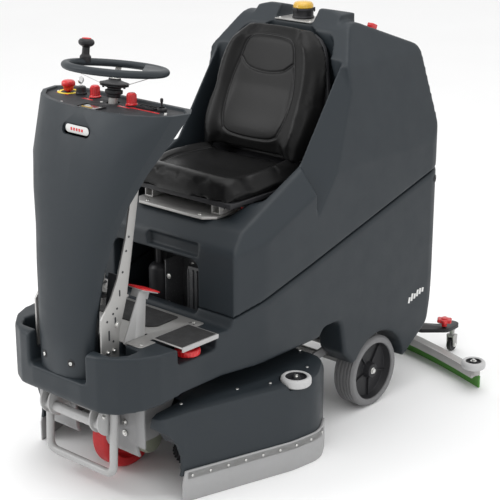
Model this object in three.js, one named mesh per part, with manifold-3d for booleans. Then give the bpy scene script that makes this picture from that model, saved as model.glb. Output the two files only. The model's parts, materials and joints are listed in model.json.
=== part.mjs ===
// Ride-on scrubber drier: a battery floor-cleaning machine that the operator sits on.
// Millimetres, +Z up, the nose towards -Y and the machine's left side towards +X.
// Every shape is laid out from the point on the floor under the middle of the rear axle,
// and the whole machine is then moved so that the origin is the middle of its footprint.
import * as THREE from "three";
import { mergeVertices } from "three/addons/utils/BufferGeometryUtils.js";
import Module from "manifold-3d";

// ---- Driving dimensions ----
const FRONT_REACH = 1130; // rear axle to the nose
const REAR_REACH = 610; // rear axle to the back of the squeegee castors
const BODY_HALF = 340; // half the width of the tanks
const NOSE_HALF = 305; // half the width of the foot deck at the front
const NOSE_RADIUS = 200; // corner of the foot deck seen from above
const BODY_BOTTOM = 345; // underside of the tank along the sides
const NOSE_BOTTOM = 300; // underside of the foot deck at the nose
const FOOT_TOP = 485; // top of the foot deck
const BOX_FRONT = -700; // front face of the seat box
const SEAT_TOP = 775; // top of the seat box
const CONSOLE_TOP = 1160; // rim of the steering console
const TANK_TOP = 1315; // front edge of the recovery tank's top
const TANK_TAIL_TOP = TANK_TOP - 112; // rear edge of the recovery tank's top
const TANK_TAIL = 345; // rear axle to the rear face of the tanks
const WHEEL_RADIUS = 125;
const WHEEL_WIDTH = 82;
const TRACK_OUTER = 325; // rear axle's middle to the outer face of a tyre
const DRIVE_Y = -858; // front drive wheel ahead of the rear axle
const DRIVE_RADIUS = 115;
const DRIVE_WIDTH = 66;
const STEER_Y = -855; // steering column's centre line
const STEER_RADIUS = 143; // middle of the steering wheel's rim
const RIM_RADIUS = 14;
const STEER_HEIGHT = 1252; // middle of the steering wheel's rim
const SEAT_HALF = 240; // half the width of the seat cushion
const BRUSH_RADIUS = 190;
const BRUSH_Y = -575;
const SQUEEGEE_HALF = 516; // half the length of the squeegee blade
const ROLLER_RADIUS = 48; // bumper wheels on the deck
const SIDE_ROLLER_RADIUS = 42; // bumper wheels on the squeegee
const CASTOR_RADIUS = 25;
const SHEET = 6; // folded steel sheet
const SHELL = 8; // wall of the column cover
const GAP = 0.3; // between pieces that touch
const SEAM = 4; // visible gap between the two tanks
const RUN = 1; // between a piece that turns and its neighbour

// ---- Finishes ----
const finish = (color, roughness, metalness = 0) => ({ color, roughness, metalness });
const SLATE = finish(0x4b5156, 0.55);
const BLACK = finish(0x1d1d1f, 0.5);
const VINYL = finish(0x232323, 0.42);
const STEEL = finish(0xc9c7c4, 0.35, 0.8);
const GREY_PAINT = finish(0x9a9a9a, 0.45, 0.1);
const TYRE = finish(0x8d8d8d, 0.8);
const RED = finish(0xc8171e, 0.4);
const GREEN = finish(0x4a9a2e, 0.55);
const AMBER = finish(0xe0b23a, 0.25);
const CHROME = finish(0xd6d6d6, 0.2, 1);
const OLIVE = finish(0x6f7365, 0.5, 0.3);
const BLACK_MAT = finish(0x333335, 0.9);
const GLASS = finish(0x101418, 0.15);

// ---- Solids ----
const wasm = await Module();
wasm.setup();
const { Manifold, Mesh: SolidMesh } = wasm;

// A closed mesh as a solid, with its faces turned outwards.
function solid(geometry) {
  const bare = geometry.index ? geometry.toNonIndexed() : geometry.clone();
  bare.deleteAttribute("normal");
  bare.deleteAttribute("uv");
  const merged = mergeVertices(bare, 1e-3);
  const corners = Array.from(merged.index.array);
  const faces = [];
  for (let i = 0; i < corners.length; i += 3) {
    const [a, b, c] = corners.slice(i, i + 3);
    if (a !== b && b !== c && c !== a) faces.push([a, b, c]);
  }
  const make = (list) =>
    new Manifold(
      new SolidMesh({
        numProp: 3,
        vertProperties: merged.attributes.position.array,
        triVerts: new Uint32Array(list.flat()),
      }),
    );
  const made = make(faces);
  return made.volume() < 0 ? make(faces.map(([a, b, c]) => [a, c, b])) : made;
}

function geometryOf(manifold) {
  const { vertProperties, triVerts, numProp } = manifold.getMesh();
  const positions = [];
  for (let i = 0; i < vertProperties.length; i += numProp) {
    positions.push(vertProperties[i], vertProperties[i + 1], vertProperties[i + 2]);
  }
  const geometry = new THREE.BufferGeometry();
  geometry.setAttribute("position", new THREE.Float32BufferAttribute(positions, 3));
  geometry.setIndex(Array.from(triVerts));
  return geometry;
}

const join = (...solids) => solids.reduce((whole, next) => whole.add(next));
const cut = (whole, ...tools) => tools.reduce((rest, tool) => rest.subtract(tool), whole);

// The same solid on the other side of the machine's middle plane.
function mirrored(manifold) {
  const geometry = geometryOf(manifold);
  geometry.scale(-1, 1, 1);
  return solid(geometry);
}

const both = (manifold) => join(manifold, mirrored(manifold));

// An outline from corners [a, b, radius]; a corner with a radius becomes an arc.
function outline(corners, steps = 4) {
  const points = [];
  const count = corners.length;
  corners.forEach(([a, b, radius = 0], i) => {
    const here = new THREE.Vector2(a, b);
    if (radius === 0) {
      points.push(here);
      return;
    }
    const towards = (j) => new THREE.Vector2(corners[j][0], corners[j][1]).sub(here).normalize();
    const back = towards((i + count - 1) % count);
    const onward = towards((i + 1) % count);
    const half = Math.acos(THREE.MathUtils.clamp(back.dot(onward), -1, 1)) / 2;
    const centre = back.clone().add(onward).normalize().multiplyScalar(radius / Math.sin(half)).add(here);
    const from = back.multiplyScalar(radius / Math.tan(half)).add(here).sub(centre);
    const to = onward.multiplyScalar(radius / Math.tan(half)).add(here).sub(centre);
    const sweep = Math.PI - 2 * half;
    for (let k = 0; k <= steps; k += 1) {
      const along = k / steps;
      const mixed = from
        .clone()
        .multiplyScalar(Math.sin((1 - along) * sweep))
        .add(to.clone().multiplyScalar(Math.sin(along * sweep)));
      points.push(mixed.divideScalar(Math.sin(sweep)).add(centre));
    }
  });
  return points;
}

// An outline that is the same on both sides, from its corners on the +X side.
const twoSided = (corners) => [...corners, ...corners.map(([x, b, r]) => [-x, b, r]).reverse()];

function extruded(points, depth, edge) {
  return new THREE.ExtrudeGeometry(new THREE.Shape(points), {
    depth: depth - 2 * edge,
    bevelEnabled: edge > 0,
    bevelThickness: edge,
    bevelSize: edge,
    bevelOffset: -edge,
    bevelSegments: 2,
  }).translate(0, 0, edge);
}

// Outline in X and Y, from one height to another.
const upright = (points, z0, z1, edge = 0) => solid(extruded(points, z1 - z0, edge).translate(0, 0, z0));

// Outline in Y and Z, from one side to the other.
function sideways(points, x0, x1, edge = 0) {
  const geometry = extruded(points, x1 - x0, edge).translate(0, 0, x0);
  geometry.applyMatrix4(new THREE.Matrix4().set(0, 0, 1, 0, 1, 0, 0, 0, 0, 1, 0, 0, 0, 0, 0, 1));
  return solid(geometry);
}

// Outline in X and Z, from one place along the machine to another.
function endways(points, y0, y1, edge = 0) {
  const geometry = extruded(points, y1 - y0, edge).rotateX(Math.PI / 2);
  return solid(geometry.translate(0, y1, 0));
}

// A wedge that takes the corner off an edge climbing along the machine's side.
function edgeCut([y0, z0], [y1, z1], across, down) {
  const corner = outline([
    [BODY_HALF - across, 0, 0],
    [BODY_HALF + 1, -down, 0],
    [BODY_HALF + 60, -down, 0],
    [BODY_HALF + 60, 200, 0],
    [BODY_HALF - across, 200, 0],
  ]);
  const slope = (z1 - z0) / (y1 - y0);
  const geometry = extruded(corner, y1 - y0, 0).rotateX(Math.PI / 2).translate(0, y1, z0 - slope * y0);
  geometry.applyMatrix4(new THREE.Matrix4().set(1, 0, 0, 0, 0, 1, 0, 0, 0, slope, 1, 0, 0, 0, 0, 1));
  return both(solid(geometry));
}

function block([x0, x1], [y0, y1], [z0, z1]) {
  const geometry = new THREE.BoxGeometry(x1 - x0, y1 - y0, z1 - z0);
  return solid(geometry.translate((x0 + x1) / 2, (y0 + y1) / 2, (z0 + z1) / 2));
}

// A turned piece from its outline [radius, height], standing along an axis at a place.
function turned(profile, place, axis = "z", sides = 20) {
  const points = profile.map(([r, h]) => new THREE.Vector2(r, h));
  const geometry = new THREE.LatheGeometry(points, sides).rotateX(Math.PI / 2);
  geometry.rotateZ(Math.PI / sides);
  if (axis === "x") geometry.rotateY(Math.PI / 2);
  if (axis === "y") geometry.rotateX(-Math.PI / 2);
  return solid(geometry.translate(...place));
}

const rod = (radius, from, to, place, axis = "z", sides = 16) =>
  turned([[0, from], [radius, from], [radius, to], [0, to]], place, axis, sides);

// A round bar bent along a path in space.
function bent(curve, radius, steps, sides = 8) {
  const section = new THREE.Shape(
    Array.from({ length: sides }, (_, i) => {
      const turn = (i / sides) * 2 * Math.PI;
      return new THREE.Vector2(radius * Math.cos(turn), radius * Math.sin(turn));
    }),
  );
  return solid(new THREE.ExtrudeGeometry(section, { steps, bevelEnabled: false, extrudePath: curve }));
}

// A skin through matching rings of points, closed at both ends.
function skinned(rings) {
  const count = rings[0].length;
  const positions = rings.flat().flatMap((p) => [p.x, p.y, p.z]);
  const index = [];
  for (let k = 0; k + 1 < rings.length; k += 1) {
    for (let i = 0; i < count; i += 1) {
      const j = (i + 1) % count;
      const [a, b] = [k * count + i, k * count + j];
      index.push(a, b, b + count, a, b + count, a + count);
    }
  }
  const cap = THREE.ShapeUtils.triangulateShape(rings[0].map((p) => new THREE.Vector2(p.x, p.y)), []);
  const last = (rings.length - 1) * count;
  cap.forEach(([a, b, c]) => {
    index.push(a, c, b);
    index.push(last + a, last + b, last + c);
  });
  const geometry = new THREE.BufferGeometry();
  geometry.setAttribute("position", new THREE.Float32BufferAttribute(positions, 3));
  geometry.setIndex(index);
  return solid(geometry);
}

const machine = new THREE.Group();
machine.position.y = (FRONT_REACH - REAR_REACH) / 2;

function add(name, manifold, { color, roughness, metalness }) {
  const material = new THREE.MeshStandardMaterial({ color, roughness, metalness });
  const mesh = new THREE.Mesh(geometryOf(manifold), material);
  mesh.name = name;
  machine.add(mesh);
}

// Places that mirror each other: the machine's left is +X.
const SIDES = [["left", 1], ["right", -1]];
const onSide = (manifold, sign) => (sign > 0 ? manifold : mirrored(manifold));

// ---- Lower tank: clean-water tank, foot deck and wheel arches in one moulding ----
// The seam with the recovery tank climbs from the foot deck to the tail.
const SEAM_KINK = [-367, 600];
const SEAM_TAIL_Z = 790;
const seamLine = (offset) => [
  [BOX_FRONT, FOOT_TOP + 32 + offset],
  [SEAM_KINK[0], SEAM_KINK[1] + offset],
  [TANK_TAIL, SEAM_TAIL_Z + offset],
];
const tankPlan = outline(
  twoSided([
    [NOSE_HALF, -FRONT_REACH, NOSE_RADIUS],
    [NOSE_HALF, BOX_FRONT - 60, 200],
    [BODY_HALF, BOX_FRONT + 120, 200],
    [BODY_HALF, TANK_TAIL, 70],
  ]),
  5,
);
const ARCH_RADIUS = WHEEL_RADIUS + 22;
const MIDDLE_CLEAR = 235; // half the width kept free under the tank between the wheels
const MIDDLE_TOP = 300;
const BAY_HALF = 215;
const BAY_FRONT = BOX_FRONT + 25;
const BAY_REAR = -90;
const BAY_FLOOR = 375;
const PEDAL = { x: 152, pivotY: -950, pivotZ: 460, padY: -900, padZ: 628, tilt: 22 };
const LID_POCKET = { x: 208, y0: -928, y1: -766, z: 438 };

function lowerTank() {
  const side = sideways(
    outline([
      [-FRONT_REACH, NOSE_BOTTOM, 26],
      [-1010, NOSE_BOTTOM + 24, 0],
      [-900, BODY_BOTTOM, 0],
      [-312, BODY_BOTTOM, 12],
      [-300, 374, 30],
      [-212, 374, 30],
      [-188, 250, 16],
      [-140, 200, 0],
      [96, 134, 0],
      [142, 132, 16],
      [TANK_TAIL - 60, 225, 60],
      [TANK_TAIL - 6, 483, 60],
      [TANK_TAIL, SEAM_TAIL_Z - SEAM / 2, 14],
      [SEAM_KINK[0], SEAM_KINK[1] - SEAM / 2, 0],
      [BOX_FRONT, FOOT_TOP + 32 - SEAM / 2, 0],
      [BOX_FRONT - 14, FOOT_TOP, 0],
      [-FRONT_REACH, FOOT_TOP, 20],
    ]),
    -BODY_HALF,
    BODY_HALF,
    10,
  );
  const plan = upright(tankPlan, 0, TANK_TOP);
  const arch = rod(ARCH_RADIUS, -BODY_HALF, BODY_HALF, [0, 0, WHEEL_RADIUS], "x", 28);
  const middle = block([-MIDDLE_CLEAR, MIDDLE_CLEAR], [-360, TANK_TAIL + 10], [0, MIDDLE_TOP]);
  const bay = block([-BAY_HALF, BAY_HALF], [BAY_FRONT, BAY_REAR], [BAY_FLOOR, SEAT_TOP]);
  const doorway = block([-BAY_HALF, 165], [BOX_FRONT - 30, BAY_FRONT + 1], [FOOT_TOP + 12, SEAT_TOP]);
  const pocket = upright(
    outline([
      [LID_POCKET.x, LID_POCKET.y0, 12],
      [BODY_HALF, LID_POCKET.y0, 0],
      [BODY_HALF, LID_POCKET.y1, 0],
      [LID_POCKET.x, LID_POCKET.y1, 12],
    ]),
    LID_POCKET.z,
    FOOT_TOP + 40,
  );
  const columnSeat = upright(
    outline(twoSided([[190, -1088, 16], [222, -1050, 10], [222, -1005, 0]])),
    FOOT_TOP - 60,
    FOOT_TOP + 40,
  );
  const coverSeat = upright(
    outline(twoSided([[122, -FRONT_REACH - 30, 0], [122, -1040, 0]])),
    388,
    FOOT_TOP + 40,
  );
  const steering = rod(28, NOSE_BOTTOM - 40, 400, [0, DRIVE_Y, 0]);
  const pedalWell = block([PEDAL.x - 13, PEDAL.x + 13], [-1010, -900], [440, FOOT_TOP + 5]);
  return cut(
    side.intersect(plan),
    arch,
    middle,
    bay,
    doorway,
    pocket,
    columnSeat,
    coverSeat,
    steering,
    pedalWell,
  );
}

// ---- Recovery tank: dirty-water tank with the seat box in front ----
const SADDLE_FRONT = 165; // the saddle under the seat narrows towards the front
const PILLAR_INNER = 258; // half the width of the hollow that the seat back stands in
const TOP_FRONT_Y = -42;
const TAIL_TOP_Y = 252;
const WING_HALF = 78; // half the width of the notch that the beacon stands in

function recoveryTank() {
  const side = sideways(
    outline([
      [BOX_FRONT, FOOT_TOP + 32 + SEAM / 2, 0],
      [SEAM_KINK[0], SEAM_KINK[1] + SEAM / 2, 0],
      [TANK_TAIL, SEAM_TAIL_Z + SEAM / 2, 10],
      [TANK_TAIL - 4, SEAM_TAIL_Z + 30, 0],
      [TAIL_TOP_Y, TANK_TAIL_TOP, 30],
      [TOP_FRONT_Y, TANK_TOP, 60],
      [-146, 1180, 70],
      [-335, 905, 60],
      [-640, 764, 60],
      [BOX_FRONT, 715, 40],
    ]),
    -BODY_HALF,
    BODY_HALF,
    8,
  );
  const front = endways(
    outline(
      twoSided([
        [BODY_HALF, 400, 0],
        [BODY_HALF, 880, 80],
        [292, 1180, 80],
        [216, TANK_TOP - 4, 24],
        [128, TANK_TOP + 17, 0],
      ]),
    ),
    -FRONT_REACH,
    TANK_TAIL + 10,
  );
  const plan = upright(tankPlan, 0, TANK_TOP + 40);
  const saddle = upright(
    outline(twoSided([
      [SADDLE_FRONT, BOX_FRONT - 10, 0],
      [PILLAR_INNER, -360, 0],
      [PILLAR_INNER, -130, 0],
    ])),
    SEAT_TOP,
    TANK_TOP + 40,
  );
  const seatRoom = block(
    [-PILLAR_INNER, PILLAR_INNER],
    [BOX_FRONT - 10, -170],
    [SEAT_TOP + 48, TANK_TOP + 40],
  );
  const seatCrown = outline(
    twoSided([[SEAT_HALF + 4, SEAT_TOP, 0], [SEAT_HALF + 2, 1080, 80], [SEAT_HALF - 56, 1292, 105]]),
  );
  const pillarRoom = sideways(
    outline([[-700, SEAT_TOP + 40, 0], [-150, SEAT_TOP + 40, 0], [-70, 1300, 0], [-240, 1300, 0]]),
    -SEAT_HALF - 4,
    SEAT_HALF + 4,
  ).intersect(endways(seatCrown, -720, -40));
  const seatBack = endways(
    outline(
      twoSided([
        [PILLAR_INNER, SEAT_TOP, 0],
        [PILLAR_INNER, 900, 0],
        [228, 1150, 60],
        [WING_HALF, TANK_TOP - 26, 40],
        [WING_HALF, TANK_TOP + 40, 0],
      ]),
    ),
    -180,
    -62,
  ).add(pillarRoom);
  const notch = block([-WING_HALF, WING_HALF], [-160, 45], [TANK_TOP - 29, TANK_TOP + 40]);
  const bay = block([-BAY_HALF - 6, BAY_HALF + 6], [BAY_FRONT, BAY_REAR + 6], [400, 716]);
  const doorway = endways(
    outline([[-BAY_HALF + 20, 440, 0], [168, 440, 0], [168, 664, 30], [-BAY_HALF + 20, 664, 30]]),
    BOX_FRONT - 10,
    BAY_FRONT + 1,
  );
  const letterbox = block([-45, 168], [BOX_FRONT - 10, BAY_FRONT - 8], [676, 716]);
  const lidRecess = sideways(
    outline([
      [LID.y0 - 2, tankTopAt(LID.y0 - 2) - LID.depth, 0],
      [LID.y1 + 2, tankTopAt(LID.y1 + 2) - LID.depth, 0],
      [LID.y1 + 2, TANK_TOP + 60, 0],
      [LID.y0 - 2, TANK_TOP + 60, 0],
    ]),
    -LID.half - 2,
    LID.half + 2,
  );
  return cut(
    side.add(wings()).intersect(front).intersect(plan),
    saddle,
    seatRoom,
    seatBack,
    notch,
    bay,
    doorway,
    letterbox,
    lidRecess,
    edgeCut([BOX_FRONT - 40, 737], [-335, 905], 62, 75),
    edgeCut([-342, 895], [-140, 1186], 78, 150),
  );
}

// The top falls in a straight line from its front edge to the tail.
const TOP_SLOPE = (TANK_TAIL_TOP - TANK_TOP) / (TAIL_TOP_Y - TOP_FRONT_Y);
const tankTopAt = (y) => TANK_TOP + TOP_SLOPE * (y - TOP_FRONT_Y);
const LID = { half: 205, y0: 62, y1: 236, depth: 12, height: 14 };

// Two low ridges that stand either side of the beacon.
const WING_END = 175;
function wings() {
  const ridge = sideways(
    outline([
      [-66, TANK_TOP - 35, 0],
      [40, TANK_TOP - 45, 0],
      [40, TANK_TOP + 5, 0],
      [-24, TANK_TOP + 19, 8],
    ]),
    -WING_END,
    WING_END,
  );
  return ridge;
}

function tankLid() {
  const y0 = LID.y0;
  const y1 = LID.y1;
  const base = (y) => tankTopAt(y) - LID.depth + GAP;
  return sideways(
    outline([
      [y0, base(y0), 0],
      [y1, base(y1), 0],
      [y1, base(y1) + LID.height, 6],
      [y0, base(y0) + LID.height + 2, 6],
    ]),
    -LID.half,
    LID.half,
  );
}

add("lower_tank", lowerTank(), SLATE);
add("recovery_tank", recoveryTank(), SLATE);
add("tank_lid", tankLid(), SLATE);

// ---- Beacon ----
const BEACON_Y = -8;
const PLATE_Z = TANK_TOP - 27;
const BEACON_RADIUS = 34;
add("beacon_bracket", block([-WING_HALF + 3, WING_HALF - 3], [-64, 42], [PLATE_Z - 1, PLATE_Z + 3]), STEEL);
const beaconBase = [
  [0, 0],
  [BEACON_RADIUS + 2, 0],
  [BEACON_RADIUS + 2, 30],
  [BEACON_RADIUS - 2, 34],
  [0, 34],
];
add("beacon_base", turned(beaconBase, [0, BEACON_Y, PLATE_Z + 3 + GAP]), BLACK);
const beaconDome = [[0, 0], [BEACON_RADIUS, 0], [BEACON_RADIUS, 12], [BEACON_RADIUS - 7, 19], [0, 21]];
add("beacon_lens", turned(beaconDome, [0, BEACON_Y, PLATE_Z + 37 + 2 * GAP]), AMBER);

// ---- Chassis ----
// A spine under the tank carries the drive unit in front and the rear axle behind.
const SPINE_TOP = MIDDLE_TOP - GAP;
const AXLE_RADIUS = 10;
const CHEEK_X = 196; // outer face of the plates that guard the drive wheel

function chassisFrame() {
  const spine = block([-62, 62], [-1000, 60], [258, SPINE_TOP]);
  const pads = [-700, -420].map((y) => block(
    [-50, 50],
    [y - 30, y + 30],
    [SPINE_TOP - 5, BODY_BOTTOM - GAP],
  ));
  const crossbar = block([-205, 205], [-40, 40], [276, SPINE_TOP]);
  const axlePlate = sideways(outline([[-45, 280, 0], [45, 280, 0], [26, 98, 24], [-26, 98, 24]]), 195, 205);
  const head = block([-CHEEK_X, CHEEK_X], [-1000, -760], [292, SPINE_TOP]);
  const cheek = sideways(
    outline([[-1000, SPINE_TOP, 0], [-820, SPINE_TOP, 0], [-900, 172, 20], [-1000, 172, 0]]),
    CHEEK_X - SHEET,
    CHEEK_X,
  );
  const cheekLip = block([CHEEK_X - SHEET, 232], [-1000, -1000 + SHEET], [172, SPINE_TOP]);
  const apron = sideways(
    outline([
      [-1000, 292, 0],
      [-994, 292, 0],
      [-984, 150, 0],
      [-978, 130, 0],
      [-986, 130, 0],
      [-996, 150, 0],
    ]),
    -CHEEK_X + 2,
    CHEEK_X - 2,
  );
  const window = block([-70, 62], [-1010, -940], [110, 236]);
  const bearing = rod(24, 240, SPINE_TOP + 20, [0, DRIVE_Y, 0]);
  const bore = rod(AXLE_RADIUS + 0.4, 180, 220, [0, 0, WHEEL_RADIUS], "x");
  const body = join(spine, ...pads, crossbar, both(axlePlate), head, both(cheek), both(cheekLip), apron);
  return cut(body, window, bearing, both(bore));
}
add("chassis_frame", chassisFrame(), GREY_PAINT);

// Bumper in front of the drive wheel: a cross tube held in pairs of round ears, and a U-bar.
const EAR = { y: -1038, z: 250, radius: 50 };
const CROSS_TUBE = { y: -1060, z: 236, radius: 16 };
const BAR_X = 141;
const BAR_RADIUS = 12.5;

function frontCrossTube() {
  const tube = rod(CROSS_TUBE.radius, -124, 124, [0, CROSS_TUBE.y, CROSS_TUBE.z], "x");
  const ears = [88, BAR_X - BAR_RADIUS - SHEET - GAP].map((x) => rod(
    EAR.radius,
    x,
    x + SHEET,
    [0, EAR.y, EAR.z],
    "x",
    18,
  ));
  const back = block([-130, 130], [-1006, -1000 - GAP], [230, 300]);
  const top = block([-130, 130], [-1060, -1000 - GAP], [300, 300 + SHEET]);
  const ahead = block([-200, 200], [-1200, -1000 - GAP], [0, 400]);
  return join(tube, both(ears[0]), both(ears[1]), back, top).intersect(ahead);
}
add("front_cross_tube", frontCrossTube(), GREY_PAINT);

function frontBar() {
  const path = new THREE.CurvePath();
  const at = (x, y, z) => new THREE.Vector3(x, y, z);
  const bend = 32;
  const [top, low] = [at(BAR_X, -1033, 288), at(BAR_X, -1043, 74)];
  const lift = (p, dz) => at(p.x, p.y + ((top.y - low.y) * dz) / (top.z - low.z), p.z + dz);
  const flip = (p) => at(-p.x, p.y, p.z);
  const inward = at(BAR_X - bend, low.y, low.z);
  path.add(new THREE.LineCurve3(top, lift(low, bend)));
  path.add(new THREE.QuadraticBezierCurve3(lift(low, bend), low, inward));
  path.add(new THREE.LineCurve3(inward, flip(inward)));
  path.add(new THREE.QuadraticBezierCurve3(flip(inward), flip(low), flip(lift(low, bend))));
  path.add(new THREE.LineCurve3(flip(lift(low, bend)), flip(top)));
  return bent(path, BAR_RADIUS, 30);
}
add("front_bar", frontBar(), GREY_PAINT);

// ---- Drive unit: a fork that steers, its motor and the driven front wheel ----
const FORK_INNER = DRIVE_WIDTH / 2 + 6;

function driveFork() {
  const legs = sideways(
    outline([
      [DRIVE_Y - 40, 236, 10],
      [DRIVE_Y + 40, 236, 10],
      [DRIVE_Y + 22, 92, 18],
      [DRIVE_Y - 22, 92, 18],
    ]),
    FORK_INNER,
    FORK_INNER + 10,
  );
  const crown = block([-FORK_INNER - 10, FORK_INNER + 10], [DRIVE_Y - 40, DRIVE_Y + 40], [234, 252]);
  const post = rod(22, 250, SPINE_TOP - 1, [0, DRIVE_Y, 0]);
  const axle = rod(10, -FORK_INNER - 5, FORK_INNER + 5, [0, DRIVE_Y, DRIVE_RADIUS], "x");
  return join(both(legs), crown, post, axle);
}
add("drive_fork", driveFork(), OLIVE);

const motorProfile = [[0, 0], [40, 0], [44, 6], [44, 64], [38, 74], [0, 74]];
const MOTOR_X = FORK_INNER + 10 + GAP;
add("drive_motor", turned(motorProfile, [MOTOR_X, DRIVE_Y, DRIVE_RADIUS], "x"), OLIVE);

// A wheel turned about X: a tyre with a flat tread on a dished hub.
function wheel(place, radius, width, bore, dish) {
  const half = width / 2;
  const rim = radius * 0.74;
  const boss = bore + 14;
  const profile = [
    [bore, -half + 4],
    [boss, -half + 4],
    [boss + 6, -half + dish],
    [rim - 6, -half + dish],
    [rim, -half + 2],
    [radius - 8, -half],
    [radius, -half + 8],
    [radius, half - 8],
    [radius - 8, half],
    [rim, half - 2],
    [rim - 6, half - dish],
    [boss + 6, half - dish],
    [boss, half - 4],
    [bore, half - 4],
    [bore, -half + 4],
  ];
  return turned(profile, place, "x", 20);
}
add("drive_wheel", wheel([0, DRIVE_Y, DRIVE_RADIUS], DRIVE_RADIUS, DRIVE_WIDTH, 10 + RUN, 16), RED);

// ---- Rear wheels ----
const WHEEL_X = TRACK_OUTER - WHEEL_WIDTH / 2;
function rearAxle() {
  const shaft = rod(AXLE_RADIUS, -TRACK_OUTER + 8, TRACK_OUTER - 8, [0, 0, WHEEL_RADIUS], "x");
  const collar = rod(17, 206, WHEEL_X - WHEEL_WIDTH / 2 - RUN, [0, 0, WHEEL_RADIUS], "x");
  return join(shaft, both(collar));
}
add("rear_axle", rearAxle(), STEEL);
SIDES.forEach(([side, sign]) => {
  const place = [WHEEL_X, 0, WHEEL_RADIUS];
  add(
    `rear_wheel_${side}`,
    onSide(wheel(place, WHEEL_RADIUS, WHEEL_WIDTH, AXLE_RADIUS + RUN, 30), sign),
    TYRE,
  );
});

// ---- Scrub deck ----
// Lift arms: a cross shaft in the chassis with two arms that carry the deck level.
const LIFT = { pivotY: -96, pivotZ: 226, deckY: -262, deckZ: 196, armX: 222 };

const DECK_ROLLER = { x: 402, y: -512, z: 268, height: 30 };
const DECK = { top: 288, skirtTop: 104, wall: 8 };
const SPINE_ROOM = 100; // half the width of the channel in the deck's top under the spine
const deckCorners = [
  [302, -1005, 38],
  [318, -905, 200],
  [424, -560, 220],
  [438, -440, 110],
  [352, -302, 100],
  [190, -300, 40],
];
const grown = (corners, by) =>
  corners.map(([x, y, r]) => [x + by, y + (y > BRUSH_Y ? by : -by), Math.max(r + by, 0)]);
const deckNotch = (from, to) => upright(
  outline(twoSided([[266, -1060, 0], [250, -860, 60], [212, -715, 60]])),
  from,
  to,
);

function deckCover() {
  const outer = upright(outline(twoSided(deckCorners), 3), DECK.skirtTop, DECK.top, 28);
  const skirt = upright(outline(twoSided(deckCorners), 3), DECK.skirtTop - 20, DECK.skirtTop + 40);
  const inner = upright(outline(twoSided(grown(deckCorners, -DECK.wall)), 3), 0, 192);
  const frontArc = rod(150, -460, 460, [0, -1075, 120], "x", 20);
  const floor = block([-BRUSH_RADIUS, BRUSH_RADIUS], [BRUSH_Y - 60, BRUSH_Y + 60], [180, 194]);
  const spindle = (x) => rod(14, 60, 200, [x, BRUSH_Y, 0]);
  const whole = cut(outer.add(skirt), inner, deckNotch(0, 400), frontArc);
  const lowered = cut(whole, block([-SPINE_ROOM, SPINE_ROOM], [-1000, -300], [208, 300]));
  const pocket = rod(
    ROLLER_RADIUS + 6,
    DECK_ROLLER.z,
    DECK.top + 60,
    [DECK_ROLLER.x, DECK_ROLLER.y, 0],
    "z",
    14,
  );
  const shelf = rod(
    ROLLER_RADIUS - 6,
    DECK_ROLLER.z - 20,
    DECK_ROLLER.z,
    [DECK_ROLLER.x, DECK_ROLLER.y, 0],
  );
  const post = rod(
    6,
    DECK_ROLLER.z - 5,
    DECK_ROLLER.z + DECK_ROLLER.height,
    [DECK_ROLLER.x, DECK_ROLLER.y, 0],
  );
  const pocketed = join(cut(lowered, both(pocket)), both(shelf.intersect(outer)), both(post));
  const ears = sideways(
    outline([
      [LIFT.deckY + 22, LIFT.deckZ - 18, 12],
      [LIFT.deckY + 22, LIFT.deckZ + 20, 12],
      [LIFT.deckY - 50, DECK.top - 40, 0],
      [LIFT.deckY - 50, LIFT.deckZ - 18, 0],
    ]),
    LIFT.armX + 3,
    LIFT.armX + 3 + SHEET,
  );
  const pin = rod(9, LIFT.armX - 10, LIFT.armX + 6, [0, LIFT.deckY, LIFT.deckZ], "x");
  return join(pocketed, floor, spindle(BRUSH_X), spindle(-BRUSH_X), both(ears), both(pin));
}
const BRUSH_X = BRUSH_RADIUS + 6;
add("deck_cover", deckCover(), SLATE);

// Each disc brush hangs on its spindle by a socket that is open underneath.
const brushProfile = [
  [15 + RUN, 100],
  [60, 100],
  [60, 78],
  [BRUSH_RADIUS - 30, 74],
  [BRUSH_RADIUS - 18, 60],
  [BRUSH_RADIUS, 1.5],
  [110, 1.5],
  [100, 50],
  [15 + RUN, 50],
  [15 + RUN, 100],
];
SIDES.forEach(([side, sign]) => {
  const brush = turned(brushProfile, [BRUSH_X, BRUSH_Y, 0], "z", 24);
  add(`brush_${side}`, onSide(brush, sign), BLACK);
});

// A rubber skirt hangs from a steel strip around each side of the deck.
function deckSkirt() {
  const outer = grown(deckCorners, 6);
  const ring = cut(
    upright(outline(twoSided(outer)), 0.5, DECK.skirtTop - 4),
    upright(outline(twoSided(grown(deckCorners, GAP)), 3), -1, DECK.skirtTop),
  );
  const keep = block([60, 500], [-930, -360], [-2, 200]);
  const frontArc = rod(150 + 6, -460, 460, [0, -1075, 120], "x", 28);
  return cut(ring.intersect(keep), frontArc);
}
SIDES.forEach(([side, sign]) => add(`skirt_${side}`, onSide(deckSkirt(), sign), TYRE));

// Bumper wheels stand on posts at the deck's widest place.
const rollerProfile = (radius, height, bore) => [
  [bore, 0],
  [radius - 3, 0],
  [radius, 5],
  [radius, height - 5],
  [radius - 3, height],
  [radius - 12, height],
  [radius - 14, height - 6],
  [bore, height - 6],
  [bore, 0],
];

function liftArms() {
  const shaft = rod(11, -LIFT.armX, LIFT.armX, [0, LIFT.pivotY, LIFT.pivotZ], "x");
  const arm = sideways(
    outline([
      [LIFT.pivotY + 18, LIFT.pivotZ - 16, 12],
      [LIFT.pivotY + 18, LIFT.pivotZ + 16, 12],
      [LIFT.deckY - 18, LIFT.deckZ + 16, 12],
      [LIFT.deckY - 18, LIFT.deckZ - 16, 12],
    ]),
    LIFT.armX - 8,
    LIFT.armX,
  );
  const eye = rod(9 + RUN, LIFT.armX - 20, LIFT.armX + 10, [0, LIFT.deckY, LIFT.deckZ], "x");
  return cut(join(shaft, both(arm)), both(eye));
}
add("lift_arms", liftArms(), GREY_PAINT);

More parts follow.
